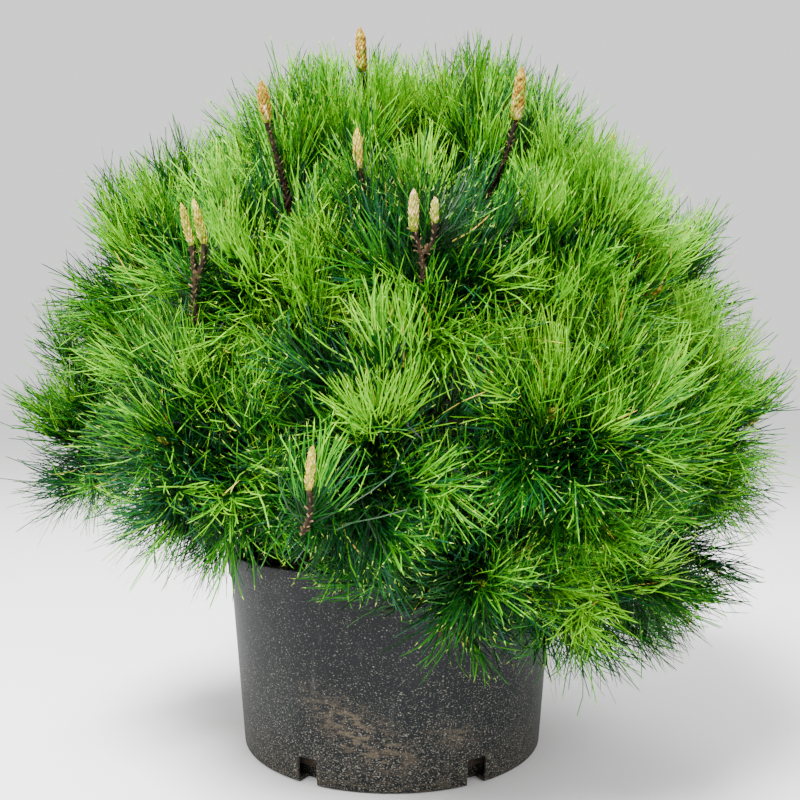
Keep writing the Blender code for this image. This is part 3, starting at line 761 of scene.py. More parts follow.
def blades_mesh(name, points, pointed):
    """Blades as one mesh: points pairs up each blade, then its point, which only the pointed ones have."""
    count, size, _ = points.shape
    steps = (size - 3) // 2
    quads = [(2 * k, 2 * k + 1, 2 * k + 3) for k in range(steps)] + [(2 * k, 2 * k + 3, 2 * k + 2) for k in range(steps)]
    blade = np.array(quads)
    start = size * np.arange(count)[:, None, None]
    faces = (blade[None] + start).reshape(-1, 3)
    ends = (np.array([[size - 3, size - 2, size - 1]])[None] + start)[pointed].reshape(-1, 3)
    return mesh_from_arrays(name, points.reshape(-1, 3), np.concatenate([faces, ends]))


def tube_arrays(points, radii, sides, start, relief=0.0, grain=0.0):
    """Vertices and triangles of a tube along points, with capped ends and optional noise relief."""
    rings = []
    turn = None
    for i, point in enumerate(points):
        ahead = points[min(i + 1, len(points) - 1)] - points[max(i - 1, 0)]
        way = ahead.normalized()
        if turn is None:
            turn = across(way)[0]
        turn = (turn - way * turn.dot(way)).normalized()
        other = way.cross(turn)
        for k in range(sides):
            angle = 2 * math.pi * k / sides
            out = turn * math.cos(angle) + other * math.sin(angle)
            radius = radii[i]
            if relief:
                radius *= 1 + relief * noise.noise((point + out * radius) / grain)
            rings.append(point + out * radius)
    verts = [tuple(v) for v in rings] + [tuple(points[0]), tuple(points[-1])]
    faces = []
    for i in range(len(points) - 1):
        for k in range(sides):
            a, b = i * sides + k, i * sides + (k + 1) % sides
            faces += [(a, b, b + sides), (a, b + sides, a + sides)]
    last = (len(points) - 1) * sides
    foot, head = len(rings), len(rings) + 1
    for k in range(sides):
        after = (k + 1) % sides
        faces += [(foot, after, k), (head, last + k, last + after)]
    return np.array(verts), np.array(faces) + start


def tubes_mesh(name, limbs, sides, relief=0.0, grain=0.01):
    """Many tubes as one mesh. A limb is (points, radii)."""
    verts, faces, start = [], [], 0
    for points, radii in limbs:
        v, f = tube_arrays(points, radii, sides, start, relief, grain)
        verts.append(v)
        faces.append(f)
        start += len(v)
    return mesh_from_arrays(name, np.concatenate(verts), np.concatenate(faces))


def resampled(points, radii, step):
    """Points and radii at even steps along a line."""
    found, sizes = [points[0]], [radii[0]]
    for i in range(len(points) - 1):
        length = (points[i + 1] - points[i]).length
        count = max(1, round(length / step))
        for k in range(1, count + 1):
            found.append(points[i].lerp(points[i + 1], k / count))
            sizes.append(radii[i] + (radii[i + 1] - radii[i]) * k / count)
    return found, sizes


def trunk_line():
    foot = Vector((0.0, 0.0, SOIL_TOP))
    leader = direction(*TOP_DIRECTION)
    tip = CROWN_CENTRE + leader * LIMB_REACH
    control = Vector((-0.004, 0.003, foot.z + 0.5 * (tip.z - foot.z)))
    points = bend_line(foot, control, tip - leader * STRAIGHT_TIP, 5) + [tip]
    radii = [TRUNK_RADIUS + (TRUNK_TIP_RADIUS - TRUNK_RADIUS) * i / 6 for i in range(7)]
    points.insert(1, foot + UP * FLARE_HEIGHT)
    radii.insert(1, TRUNK_RADIUS * 1.04)
    radii[0] = TRUNK_FOOT_RADIUS
    return points, radii


def trunk_at(height):
    points, _ = trunk_line()
    for low, high in zip(points, points[1:]):
        if height <= high.z:
            return low.lerp(high, (height - low.z) / (high.z - low.z))
    return points[-1]


def bough_line(mass, number):
    start = trunk_at(LEAVE_HEIGHTS[mass["ring"]] + LEAVE_STAGGER * (number % LEAVE_LEVELS - 1))
    end = CROWN_CENTRE + mass["u"] * LIMB_REACH
    points = bend_line(start, end - mass["u"] * 0.055, end - mass["u"] * STRAIGHT_TIP, 5) + [end]
    radii = [BOUGH_RADIUS + (BOUGH_TIP_RADIUS - BOUGH_RADIUS) * i / 6 for i in range(7)]
    return points, radii


def candle_places():
    """Foot, tip and the stem's line of each bud candle."""
    found = []
    for number, (azimuth, elevation, reach, length) in enumerate(CANDLES):
        u = direction(azimuth, elevation)
        tip = CROWN_CENTRE + u * reach
        way = Vector(CANDLE_WAYS.get(number, UP + u * 0.5)).normalized()
        foot = tip - way * length
        root = foot - (way * 0.6 + u * 0.4) * CANDLE_STEM
        if number in STEM_ENDS:
            root = foot + Vector(STEM_ENDS[number])
        if number in TWINS:
            root = found[TWINS[number]][2][TWIN_JOIN]
        sag = across(u)[0] * CANDLE_STEM_SAG * math.cos(math.radians(azimuth)) - UP * CANDLE_STEM_SAG
        found.append((foot, tip, bend_line(root, foot.lerp(root, 0.5) + sag, foot + way * 0.002, 5)))
    return found


def crosses(start, end, first, last):
    """True where the flat segments from start to end cross the one from first to last."""
    def turn(a, b, c):
        return (b[..., 0] - a[..., 0]) * (c[..., 1] - a[..., 1]) - (b[..., 1] - a[..., 1]) * (c[..., 0] - a[..., 0])

    apart = turn(first, last, start) * turn(first, last, end) < 0
    return apart & (turn(start, end, first) * turn(start, end, last) < 0)


def front_view(points):
    """Where points fall in the front view, and their depth."""
    depth = points[..., 1] + CAMERA_DISTANCE
    return np.stack([points[..., 0], points[..., 2] - CAMERA_HEIGHT], axis=-1) / depth[..., None], depth


def candle_edges():
    """The two edges and the middle of each candle and bare stem at the front, as pieces of line."""
    found = []
    for number, (foot, tip, stem) in enumerate(candle_places()[:FRONT_CANDLES]):
        pieces = [(tip, foot, CANDLE_VIEW)]
        if number in STEM_ENDS or number in TWINS:
            pieces += [(high, low, STEM_VIEW) for low, high in zip(stem, stem[1:])]
        for high, low, half in pieces:
            for shift in (-half, 0.0, half):
                found.append([(point.x + shift, point.y, point.z) for point in (high, low)])
    return np.array(found)


def hides_candle(samples, edges):
    """True for needles, given as points along each, that cross a candle or its bare stem in the front view."""
    ends, depths = front_view(edges)
    first, last = ends[:, None, 0], ends[:, None, 1]
    behind = depths.mean(axis=1)[:, None]
    seen = [front_view(points) for points in samples]
    hides = np.full(len(samples[0]), False)
    for (start, near), (end, far) in zip(seen, seen[1:]):
        in_front = (near + far)[None] / 2 < behind
        hides |= (crosses(start[None], end[None], first, last) & in_front).any(axis=0)
    return hides


def bud_places(everyone):
    """Foot and tip of the small buds at the ends of some shoots."""
    chance = random.Random(f"{SEED} buds")
    found = []
    for mass in everyone:
        for line in mass["shoots"]:
            if chance.random() > BUD_CHANCE:
                continue
            way = ((line[-1] - line[-2]).normalized() + UP * 0.4).normalized()
            length = BUD_LENGTH * chance.uniform(0.8, 1.3)
            found.append((line[-1], line[-1] + way * length))
    return found


def girth(t):
    """A candle's width along its length: nearly even, with a blunt rounded tip."""
    return min(1.0, 0.78 + 1.1 * t) * math.sqrt(max(0.0, 1 - (max(0.0, t - 0.62) / 0.38) ** 2.2))


def spindle(foot, tip, radius, rows, sides):
    """Rings of vertices of a bud's body."""
    way = (tip - foot).normalized()
    flat, rise = across(way)
    verts = []
    for i in range(rows + 1):
        t = i / rows
        for k in range(sides):
            angle = 2 * math.pi * k / sides
            out = flat * math.cos(angle) + rise * math.sin(angle)
            verts.append(tuple(foot.lerp(tip, t) + out * radius * max(girth(t), 0.05)))
    return verts


def scale_points(foot, tip, radius, chance):
    """Place, turn, size and height share of the papery scales, in a spiral round one bud."""
    way = (tip - foot).normalized()
    flat, rise = across(way)
    count = max(16, round((tip - foot).length * radius / CANDLE_RADIUS / SCALE_STEP))
    found = []
    for n in range(count):
        t = (n + 0.5) / count
        angle = math.radians(GOLDEN_ANGLE * n)
        out = flat * math.cos(angle) + rise * math.sin(angle)
        spot = foot.lerp(tip, t * 0.95) + out * radius * girth(t) * 0.9
        flare = 0.22 + chance.uniform(-0.12, 0.16)
        up = (way + out * (flare - 0.5 * t * t)).normalized()
        side = up.cross(out).normalized()
        basis = Matrix((side, up, side.cross(up))).transposed()
        size = radius / CANDLE_RADIUS * chance.uniform(0.8, 1.15) * (1.0 - 0.3 * t)
        found.append((tuple(spot), tuple(basis.to_euler()), size, t))
    return found


def scatter_tree():
    """Geometry nodes: an instance of a shape on each point, turned and sized by the points' attributes."""
    tree = bpy.data.node_groups.new("scatter", "GeometryNodeTree")
    tree.interface.new_socket("Points", in_out="INPUT", socket_type="NodeSocketGeometry")
    tree.interface.new_socket("Shape", in_out="INPUT", socket_type="NodeSocketObject")
    tree.interface.new_socket("Finish", in_out="INPUT", socket_type="NodeSocketMaterial")
    tree.interface.new_socket("Geometry", in_out="OUTPUT", socket_type="NodeSocketGeometry")
    graph = Graph(tree)
    entry = graph.add("NodeGroupInput")
    shape = graph.add("GeometryNodeObjectInfo", {"Object": entry.outputs["Shape"]})
    turn = graph.add("GeometryNodeInputNamedAttribute", {"Name": "turn"}, data_type="FLOAT_VECTOR")
    size = graph.add("GeometryNodeInputNamedAttribute", {"Name": "size"}, data_type="FLOAT")
    placed = graph.add("GeometryNodeInstanceOnPoints", {
        "Points": entry.outputs["Points"],
        "Instance": shape.outputs["Geometry"],
        "Rotation": turn.outputs["Attribute"],
        "Scale": size.outputs["Attribute"],
    })
    real = graph.add("GeometryNodeRealizeInstances", {"Geometry": placed.outputs["Instances"]})
    finished = graph.add("GeometryNodeSetMaterial", {
        "Geometry": real.outputs["Geometry"],
        "Material": entry.outputs["Finish"],
    })
    graph.add("NodeGroupOutput", {"Geometry": finished.outputs["Geometry"]})
    return tree


def scattered(name, spots, turns, sizes, shape_mesh, finish):
    """A plain mesh with a copy of a shape on each spot, made by the scatter tree."""
    points = bpy.data.meshes.new(f"{name}_points")
    points.from_pydata([tuple(spot) for spot in spots], [], [])
    turn = points.attributes.new("turn", "FLOAT_VECTOR", "POINT")
    turn.data.foreach_set("vector", np.array(turns, dtype=np.float32).ravel())
    size = points.attributes.new("size", "FLOAT", "POINT")
    size.data.foreach_set("value", np.array(sizes, dtype=np.float32))
    carrier = bpy.data.objects.new(f"{name}_points", points)
    shape = bpy.data.objects.new(f"{name}_shape", shape_mesh)
    bpy.context.scene.collection.objects.link(carrier)
    bpy.context.scene.collection.objects.link(shape)
    tree = scatter_tree()
    step = carrier.modifiers.new("scatter", "NODES")
    step.node_group = tree
    inputs = {item.name: item.identifier for item in tree.interface.items_tree if item.in_out == "INPUT"}
    step[inputs["Shape"]] = shape
    step[inputs["Finish"]] = finish
    mesh = evaluated_mesh(carrier)
    bpy.data.objects.remove(carrier)
    bpy.data.objects.remove(shape)
    return mesh


def joined(name, meshes):
    """One mesh from several."""
    shape = bmesh.new()
    for mesh in meshes:
        shape.from_mesh(mesh)
    made = bpy.data.meshes.new(name)
    shape.to_mesh(made)
    shape.free()
    for polygon in made.polygons:
        polygon.use_smooth = True
        polygon.material_index = 0
    return made


def scale_mesh():
    """A papery bud scale: a small cupped blade, wide at its foot and pointed."""
    outline = ((-0.0010, 0.0), (0.0010, 0.0), (0.0012, 0.0020), (0.0, 0.0054), (-0.0012, 0.0020))
    verts = [(x, y, -abs(x) * 0.35 + y * 0.08) for x, y in outline] + [(0.0, 0.0018, 0.0006)]
    faces = [(i, (i + 1) % 5, 5) for i in range(5)]
    back = [(x, y, z - 0.00035) for x, y, z in verts[:5]]
    rim = [(i, i + 6, (i + 1) % 5 + 6) for i in range(5)] + [(i, (i + 1) % 5 + 6, (i + 1) % 5) for i in range(5)]
    mesh = bpy.data.meshes.new("bud_scale")
    mesh.from_pydata(verts + back, [], faces + rim + [(10, 9, 8, 7, 6)])
    return mesh


def stub_mesh():
    """The base that an old needle pair leaves on a stem: a short four-sided peg."""
    shape = bmesh.new()
    bmesh.ops.create_cone(shape, cap_ends=True, segments=4, radius1=0.0009, radius2=0.0005, depth=0.0066)
    mesh = bpy.data.meshes.new("stub")
    shape.to_mesh(mesh)
    shape.free()
    return mesh


def crumb_mesh():
    """A crumb of bark or peat: a lumpy flattened pebble."""
    shape = bmesh.new()
    bmesh.ops.create_icosphere(shape, subdivisions=1, radius=0.003)
    for vert in shape.verts:
        vert.co *= 1 + 0.3 * noise.noise(vert.co / 0.0015)
        vert.co.z *= 0.6
    mesh = bpy.data.meshes.new("crumb")
    shape.to_mesh(mesh)
    shape.free()
    return mesh


def arc(centre, radius, start, stop, steps):
    """Points (radius, height) along a circular arc, its angles in degrees."""
    found = []
    for i in range(steps + 1):
        angle = math.radians(start + (stop - start) * i / steps)
        found.append((centre[0] + radius * math.cos(angle), centre[1] + radius * math.sin(angle)))
    return found


def wall_radius(height):
    """The pot wall's outer radius at a height."""
    share = height / (POT_HEIGHT - BAND_HEIGHT)
    return FOOT_RADIUS + (WALL_TOP_RADIUS - FOOT_RADIUS) * share


def pot_profile():
    """Outside from the centre pad up to the lip, then down the inside, with rounded edges."""
    band_foot = POT_HEIGHT - BAND_HEIGHT
    ring = FOOT_RADIUS - FOOT_RING_WIDTH
    lip = WALL_TOP_RADIUS + BAND_OUT + LIP_OUT
    inner_lip = lip - 1.6 * WALL
    points = [(0.0, 0.0), (PAD_RADIUS, 0.0), (PAD_RADIUS + 0.0025, FLOOR_RISE), (ring - 0.0025, FLOOR_RISE)]
    points += [(ring, 0.0)]
    points += arc((wall_radius(0.0025) - 0.0025, 0.0025), 0.0025, -90, 0, 5)
    points += [(wall_radius(band_foot * k / 6), band_foot * k / 6) for k in range(1, 6)]
    points += [(WALL_TOP_RADIUS, band_foot - 0.0012)]
    points += arc((WALL_TOP_RADIUS + BAND_OUT - 0.001, band_foot + 0.001), 0.001, -80, 0, 4)
    points += [(WALL_TOP_RADIUS + BAND_OUT + LIP_OUT * 0.5, band_foot + BAND_HEIGHT * 0.5)]
    points += arc((lip - 0.0014, POT_HEIGHT - 0.0014), 0.0014, 0, 90, 4)
    points += arc((inner_lip + 0.0006, POT_HEIGHT - 0.0006), 0.0006, 90, 180, 2)
    points += [(WALL_TOP_RADIUS - WALL, band_foot), (wall_radius(FLOOR) - WALL, FLOOR)]
    points += [(ring + WALL, FLOOR), (ring - 0.0025 + WALL, FLOOR_RISE + FLOOR), (0.0, FLOOR_RISE + FLOOR)]
    return points


def turned_mesh(name, profile, steps):
    """A mesh of a profile turned round Z; both ends of the profile are on the axis."""
    rings = profile[1:-1]
    verts = [(0.0, 0.0, profile[0][1]), (0.0, 0.0, profile[-1][1])]
    for radius, height in rings:
        for k in range(steps):
            angle = 2 * math.pi * k / steps
            verts.append((radius * math.cos(angle), radius * math.sin(angle), height))
    faces = []
    for k in range(steps):
        after = (k + 1) % steps
        faces.append((0, 2 + after, 2 + k))
        last = 2 + (len(rings) - 1) * steps
        faces.append((1, last + k, last + after))
        for i in range(len(rings) - 1):
            low, high = 2 + i * steps, 2 + (i + 1) * steps
            faces.append((low + k, low + after, high + after, high + k))
    mesh = bpy.data.meshes.new(name)
    mesh.from_pydata(verts, [], faces)
    return mesh


def slot_cutter(number, inner, width, height):
    """A round-topped box that cuts one drain slot."""
    turn = math.radians(SLOT_FIRST + number * 360 / SLOT_COUNT)
    outer = WALL_TOP_RADIUS + 0.01
    corner = 0.002
    half = width / 2
    outline = [(-half, -0.01), (half, -0.01)]
    outline += arc((half - corner, height - corner), corner, 0, 90, 4)
    outline += arc((-half + corner, height - corner), corner, 90, 180, 4)
    count = len(outline)
    verts = [(x, -inner, z) for x, z in outline] + [(x, -outer, z) for x, z in outline]
    faces = [tuple(reversed(range(count))), tuple(range(count, 2 * count))]
    for i in range(count):
        after = (i + 1) % count
        faces.append((i, after, after + count, i + count))
    mesh = bpy.data.meshes.new("slot")
    mesh.from_pydata(verts, [], faces)
    shape = bmesh.new()
    shape.from_mesh(mesh)
    bmesh.ops.recalc_face_normals(shape, faces=shape.faces)
    shape.transform(Matrix.Rotation(turn, 4, "Z"))
    shape.to_mesh(mesh)
    shape.free()
    return mesh


def cut(mesh, cutters):
    """The mesh with each cutter taken out of it."""
    obj = bpy.data.objects.new("cut_piece", mesh)
    bpy.context.scene.collection.objects.link(obj)
    helpers = []
    for cutter_mesh in cutters:
        cutter = bpy.data.objects.new("cutter", cutter_mesh)
        bpy.context.scene.collection.objects.link(cutter)
        step = obj.modifiers.new("cut", "BOOLEAN")
        step.operation = "DIFFERENCE"
        step.solver = "EXACT"
        step.object = cutter
        helpers.append(cutter)
    made = evaluated_mesh(obj)
    for helper in helpers + [obj]:
        bpy.data.objects.remove(helper)
    return made


def smooth_by_angle(mesh, degrees):
    """Smooth faces with sharp edges where they meet at more than an angle."""
    shape = bmesh.new()
    shape.from_mesh(mesh)
    limit = math.radians(degrees)
    for edge in shape.edges:
        edge.smooth = len(edge.link_faces) == 2 and edge.calc_face_angle(0.0) < limit
    for face in shape.faces:
        face.smooth = True
    shape.to_mesh(mesh)
    shape.free()


def soil_surface():
    """The soil: its wall along the pot's inside and a crumbly, uneven top."""
    steps, rows = 96, 22
    edge_radius = WALL_TOP_RADIUS - WALL - 0.0012
    foot_radius = FOOT_RADIUS - WALL - 0.009
    verts, faces = [(0.0, 0.0, SOIL_TOP)], []
    for i in range(1, rows + 1):
        radius = edge_radius * i / rows
        for k in range(steps):
            angle = 2 * math.pi * k / steps
            x, y = radius * math.cos(angle), radius * math.sin(angle)
            height = SOIL_TOP - 0.003 * (i / rows) ** 2 + 0.0022 * noise.noise(Vector((x, y, 0)) / 0.012)
            verts.append((x, y, height + 0.0012 * noise.noise(Vector((x, y, 3)) / 0.004)))
    for k in range(steps):
        faces.append((0, 1 + k, 1 + (k + 1) % steps))
    for i in range(rows - 1):
        for k in range(steps):
            a, b = 1 + i * steps + k, 1 + i * steps + (k + 1) % steps
            faces.append((a, a + steps, b + steps, b))
    top_ring = 1 + (rows - 1) * steps
    base = len(verts)
    for height in (0.1, 0.012):
        for k in range(steps):
            angle = 2 * math.pi * k / steps
            share = height / SOIL_TOP
            radius = foot_radius + (edge_radius - foot_radius) * share
            radius += 0.0015 * noise.noise(Vector((math.cos(angle), math.sin(angle), height)) * 9)
            verts.append((radius * math.cos(angle), radius * math.sin(angle), height))
    for k in range(steps):
        after = (k + 1) % steps
        faces.append((top_ring + k, base + k, base + after, top_ring + after))
        faces.append((base + k, base + steps + k, base + steps + after, base + after))
    faces.append(tuple(base + steps + k for k in reversed(range(steps))))
    mesh = bpy.data.meshes.new("soil")
    mesh.from_pydata(verts, [], faces)
    return mesh


def crumb_spots(count):
    """Places, turns and sizes of loose crumbs on the soil's top."""
    chance = random.Random(f"{SEED} crumbs")
    spots, turns, sizes = [], [], []
    for _ in range(count):
        radius = (WALL_TOP_RADIUS - WALL - 0.006) * math.sqrt(chance.uniform(0.03, 1))
        angle = chance.uniform(0, 2 * math.pi)
        x, y = radius * math.cos(angle), radius * math.sin(angle)
        fall = 0.003 * (radius / WALL_TOP_RADIUS) ** 2
        spots.append((x, y, SOIL_TOP - fall + 0.0006))
        turns.append((chance.uniform(-0.5, 0.5), chance.uniform(-0.5, 0.5), chance.uniform(0, 6.28)))
        sizes.append(chance.uniform(0.4, 1.5))
    return spots, turns, sizes


class PineSettings(bpy.types.PropertyGroup):
    """The needles' density, the soil's crumbs and the pot's steps."""

    density: bpy.props.FloatProperty(
        name="Needle Density",
        description="Share of the full number of needles on each shoot",
        default=1.0,
        min=0.05,
        max=1.5,
        subtype="FACTOR",
    )
    crumbs: bpy.props.IntProperty(
        name="Soil Crumbs",
        description="How many loose crumbs lie on the soil",
        default=900,
        min=0,
        max=4000,
    )
    pot_steps: bpy.props.IntProperty(
        name="Pot Steps",
        description="Steps round the pot's turned wall",
        default=160,
        min=24,
        max=360,
    )


def grown_masses():
    everyone = masses()
    for mass in everyone:
        mass["twigs"] = finer_twigs(mass)
    return everyone


class PINE_OT_pot(bpy.types.Operator):
    """Build the nursery pot with its rim band, foot ring and drain slots"""

    bl_idname = "pine.pot"
    bl_label = "Build Pot"

    def execute(self, context):
        steps = context.scene.pine_settings.pot_steps
        body = turned_mesh("nursery_pot", pot_profile(), steps)
        inner = FOOT_RADIUS - FOOT_RING_WIDTH + 0.003
        cutters = [slot_cutter(k, inner, SLOT_WIDTH, SLOT_HEIGHT) for k in range(SLOT_COUNT)]
        mesh = cut(body, cutters)
        if len(mesh.polygons) < steps:
            raise RuntimeError("the pot lost its wall when its slots were cut")
        smooth_by_angle(mesh, 40)
        add_object("nursery_pot", mesh, pot_material(), ["pot"])
        return {"FINISHED"}


class PINE_OT_soil(bpy.types.Operator):
    """Build the potting soil with its uneven top and loose crumbs"""

    bl_idname = "pine.soil"
    bl_label = "Build Soil"

    def execute(self, context):
        finish = soil_material()
        spots, turns, sizes = crumb_spots(context.scene.pine_settings.crumbs)
        crumbs = scattered("crumbs", spots, turns, sizes, crumb_mesh(), finish)
        mesh = joined("potting_soil_surface", [soil_surface(), crumbs])
        add_object("potting_soil_surface", mesh, finish, ["potting_soil"])
        return {"FINISHED"}


class PINE_OT_limbs(bpy.types.Operator):
    """Build the trunk and boughs with bark relief, and the twigs that carry the needles"""

    bl_idname = "pine.limbs"
    bl_label = "Build Limbs"

    def execute(self, context):
        everyone = grown_masses()
        limbs = [resampled(*trunk_line(), 0.004)]
        nodes = ["trunk"]
        for number, mass in enumerate(everyone):
            if mass["ring"] != "top":
                limbs.append(resampled(*bough_line(mass, number), 0.006))
                nodes.append(mass["name"].replace("foliage", "bough"))
        mesh = tubes_mesh("bark_limbs", limbs, 14, 0.16, 0.005)
        add_object("bark_limbs", mesh, bark_material(), nodes)
        twigs = []
        for mass in everyone:
            stem = [CROWN_CENTRE + mass["u"] * LIMB_REACH, CROWN_CENTRE + mass["u"] * HUB_REACH]
            twigs.append(resampled(stem, [0.0035, 0.0030], 0.006))
            for line in mass["shoots"]:
                twigs.append(resampled(line, [0.0030 - 0.0012 * i / 6 for i in range(7)], 0.006))
            for line in mass["twigs"]:
                twigs.append(resampled(line, [0.0021 - 0.0007 * i / 4 for i in range(5)], 0.012))
        for _, _, stem in candle_places():
            twigs.append(resampled(stem, [CANDLE_STEM_RADIUS] * len(stem), 0.0022))
        mesh = tubes_mesh("needle_twigs", twigs, 6, 0.5, 0.0022)
        add_object("needle_twigs", mesh, twig_material())
        return {"FINISHED"}


class PINE_OT_needles(bpy.types.Operator):
    """Grow the needles of every brush, joined by tint"""

    bl_idname = "pine.needles"
    bl_label = "Grow Needles"

    def execute(self, context):
        density = context.scene.pine_settings.density
        everyone = grown_masses()
        chance = np.random.default_rng(SEED)
        names = [tint[0] for tint in NEEDLE_TINTS] + [INSIDE_SHADE_TINT[0]]
        batches = {name: [] for name in names}
        edges = candle_edges()
        for mass in everyone:
            mood = chance.normal(0, 0.1)
            lines = [(line, NEEDLES_PER_SHOOT) for line in mass["shoots"]]
            lines += [(line, NEEDLES_PER_TWIG) for line in mass["twigs"]]
            lines += [(stem[:-BARE_STEM_POINTS], NEEDLES_PER_STEM + number)
                      for number, (_, _, stem) in enumerate(candle_places()) if inside_cell(stem[0], mass["planes"])]
            for line, count in lines:
                *needles, t = brush_arrays(line, round(count * density), mass["reach"], chance)
                light = self.daylight(mass, line) - self.far_shade(*needles)
                if count < NEEDLES_PER_TWIG:
                    light += STEM_LIGHT if count == NEEDLES_PER_STEM + LIT_STEM else -STEM_SHADE
                pick = self.tint_picks(mood + chance.normal(0, 0.16), t, light, chance)
                keep = self.kept(*needles, chance.normal(0, LOWEST_STRAY, len(t)), edges)
                for k, name in enumerate(names[:-1]):
                    batches[name].append([array[keep & (pick == k)] for array in needles])
                if count >= NEEDLES_PER_TWIG:
                    # Short inside needles in near-black painted shade.
                    inside = inside_arrays(line, round(NEEDLES_INSIDE * density), chance)
                    keep = self.kept(*inside, 0.0, edges)
                    batches[INSIDE_SHADE_TINT[0]].append([array[keep] for array in inside])
        self.add_blades(batches, [mass["name"] for mass in everyone], chance)
        return {"FINISHED"}

    @staticmethod
    def add_blades(batches, stands_for, chance):
        """The needles' pieces: their upper parts by tint, their lower parts in painted shade, and the points painted
        pale as highlights.
        """
        tips, bases = [], [[], []]
        for number, (name, dark, fresh, pale) in enumerate(NEEDLE_TINTS + (INSIDE_SHADE_TINT,)):
            parts = [np.concatenate(arrays) for arrays in zip(*batches[name])]
            finish = needle_material(f"pine_{name}", dark, fresh, pale)
            if name == INSIDE_SHADE_TINT[0]:
                points = needle_points(*parts, INSIDE_WIDTH, chance)[:, (0, 1, 4, 5, 8)]
                mesh = blades_mesh(name, points, np.full(len(points), True))
            else:
                points = needle_points(*parts, NEEDLE_WIDTH, chance)
                # Some needles get their points painted pale as highlights.
                highlight_tipped = chance.random(len(points)) < HIGHLIGHT_POINT_SHARE
                tips.append(points[highlight_tipped, 6:9])
                # The lower part of every needle goes into a piece in painted shade.
                bases[number >= BRIGHT_TINTS].append(points[:, :4])
                mesh = blades_mesh(name, points[:, 2:], ~highlight_tipped)
            add_object(name, mesh, finish, stands_for if number == 0 else ())
        # The needles' lower parts in painted shade, darker still under the dimmer tints.
        for (name, *colours), lower in zip(SHADED_BASE_TINTS, bases):
            corners = np.concatenate(lower)
            square = np.array([(0, 1, 3), (0, 3, 2)])
            faces = (square[None] + 4 * np.arange(len(corners))[:, None, None]).reshape(-1, 3)
            mesh = mesh_from_arrays(name, corners.reshape(-1, 3), faces)
            add_object(name, mesh, needle_material(f"pine_{name}", *colours))
        # The pale needle points: a painted highlight.
        corners = np.concatenate(tips).reshape(-1, 3)
        mesh = mesh_from_arrays("needle_points", corners, np.arange(len(corners)).reshape(-1, 3))
        add_object("needle_points", mesh, needle_material("pine_needle_highlight_points", *HIGHLIGHT_POINT_TINT))

    @staticmethod
    def kept(root, first, last, length, stray, edges):
        """True for needles clear of the pot and of the candles' view, above the crown's edge and in its box."""
        low = np.array(CAD_BOUNDS[0]) + 0.0005
        high = np.array(CAD_BOUNDS[1]) - 0.0005
        samples = [root]
        for t in (0.35, 0.7, 1.0):
            samples.append(root + (first * (t - t * t / 2) + last * (t * t / 2)) * length[:, None])
        keep = ~hides_candle(samples, edges)
        for point in samples[1:]:
            keep &= free_of_pot(point, 0.002) & above_skirt(point, stray) & inside_box(point, low, high)
        return keep

    @staticmethod
    def daylight(mass, line):
        """How much light is painted into a brush's tints: more high in the crown and on its own mass, less down in
        the hollows.
        """
        way = (line[-1] - CROWN_CENTRE).normalized()
        middle = CROWN_CENTRE + mass["u"] * (mass["reach"] - TIP_GAP)
        lobe = max(-1.0, min(1.0, (line[-1] - middle).z / LOBE_RISE))
        light = (way.z - LIGHT_LEVEL) * LIGHT_GAIN - way.x * LEFT_LIGHT + lobe * LOBE_LIGHT
        for azimuth, elevation, gain in LIGHT_SPOTS:
            apart = math.degrees(way.angle(direction(azimuth, elevation)))
            light += gain * math.exp(-(apart / SPOT_WIDTH) ** 2)
        return light

    @staticmethod
    def far_shade(root, first, last, length):
        """Painted shade: darker for the long needles that stand out of the crown's outline."""
        offset = root + (first + last) * (length / 2)[:, None] - np.array(tuple(CROWN_CENTRE))
        far = np.linalg.norm(offset, axis=1)
        outline = offset[:, 1] / far > FAR_BEHIND
        return FAR_SHADE * outline * np.clip((far / CROWN_REACH - FAR_FROM) / 0.05, 0.0, 1.0)

    @staticmethod
    def tint_picks(mood, t, light, chance):
        """The tint of each needle: brighter in painted daylight and at the shoot's tip, with a few bluish or dry
        ones.
        """
        level = np.tanh(LIGHT_TO_LEVEL * (light + (t - TIP_MIDDLE) * TIP_LIGHT)) + mood
        pick = np.digitize(-level - chance.normal(0, NEEDLE_MIX, len(t)), TINT_EDGES)
        odd = chance.random(len(t))
        pick[(odd < BLUISH_MOST * chance.random() ** 3) & (pick > 1)] = BLUISH
        pick[odd > 1 - STRAW_SHARE] = STRAW
        return pick


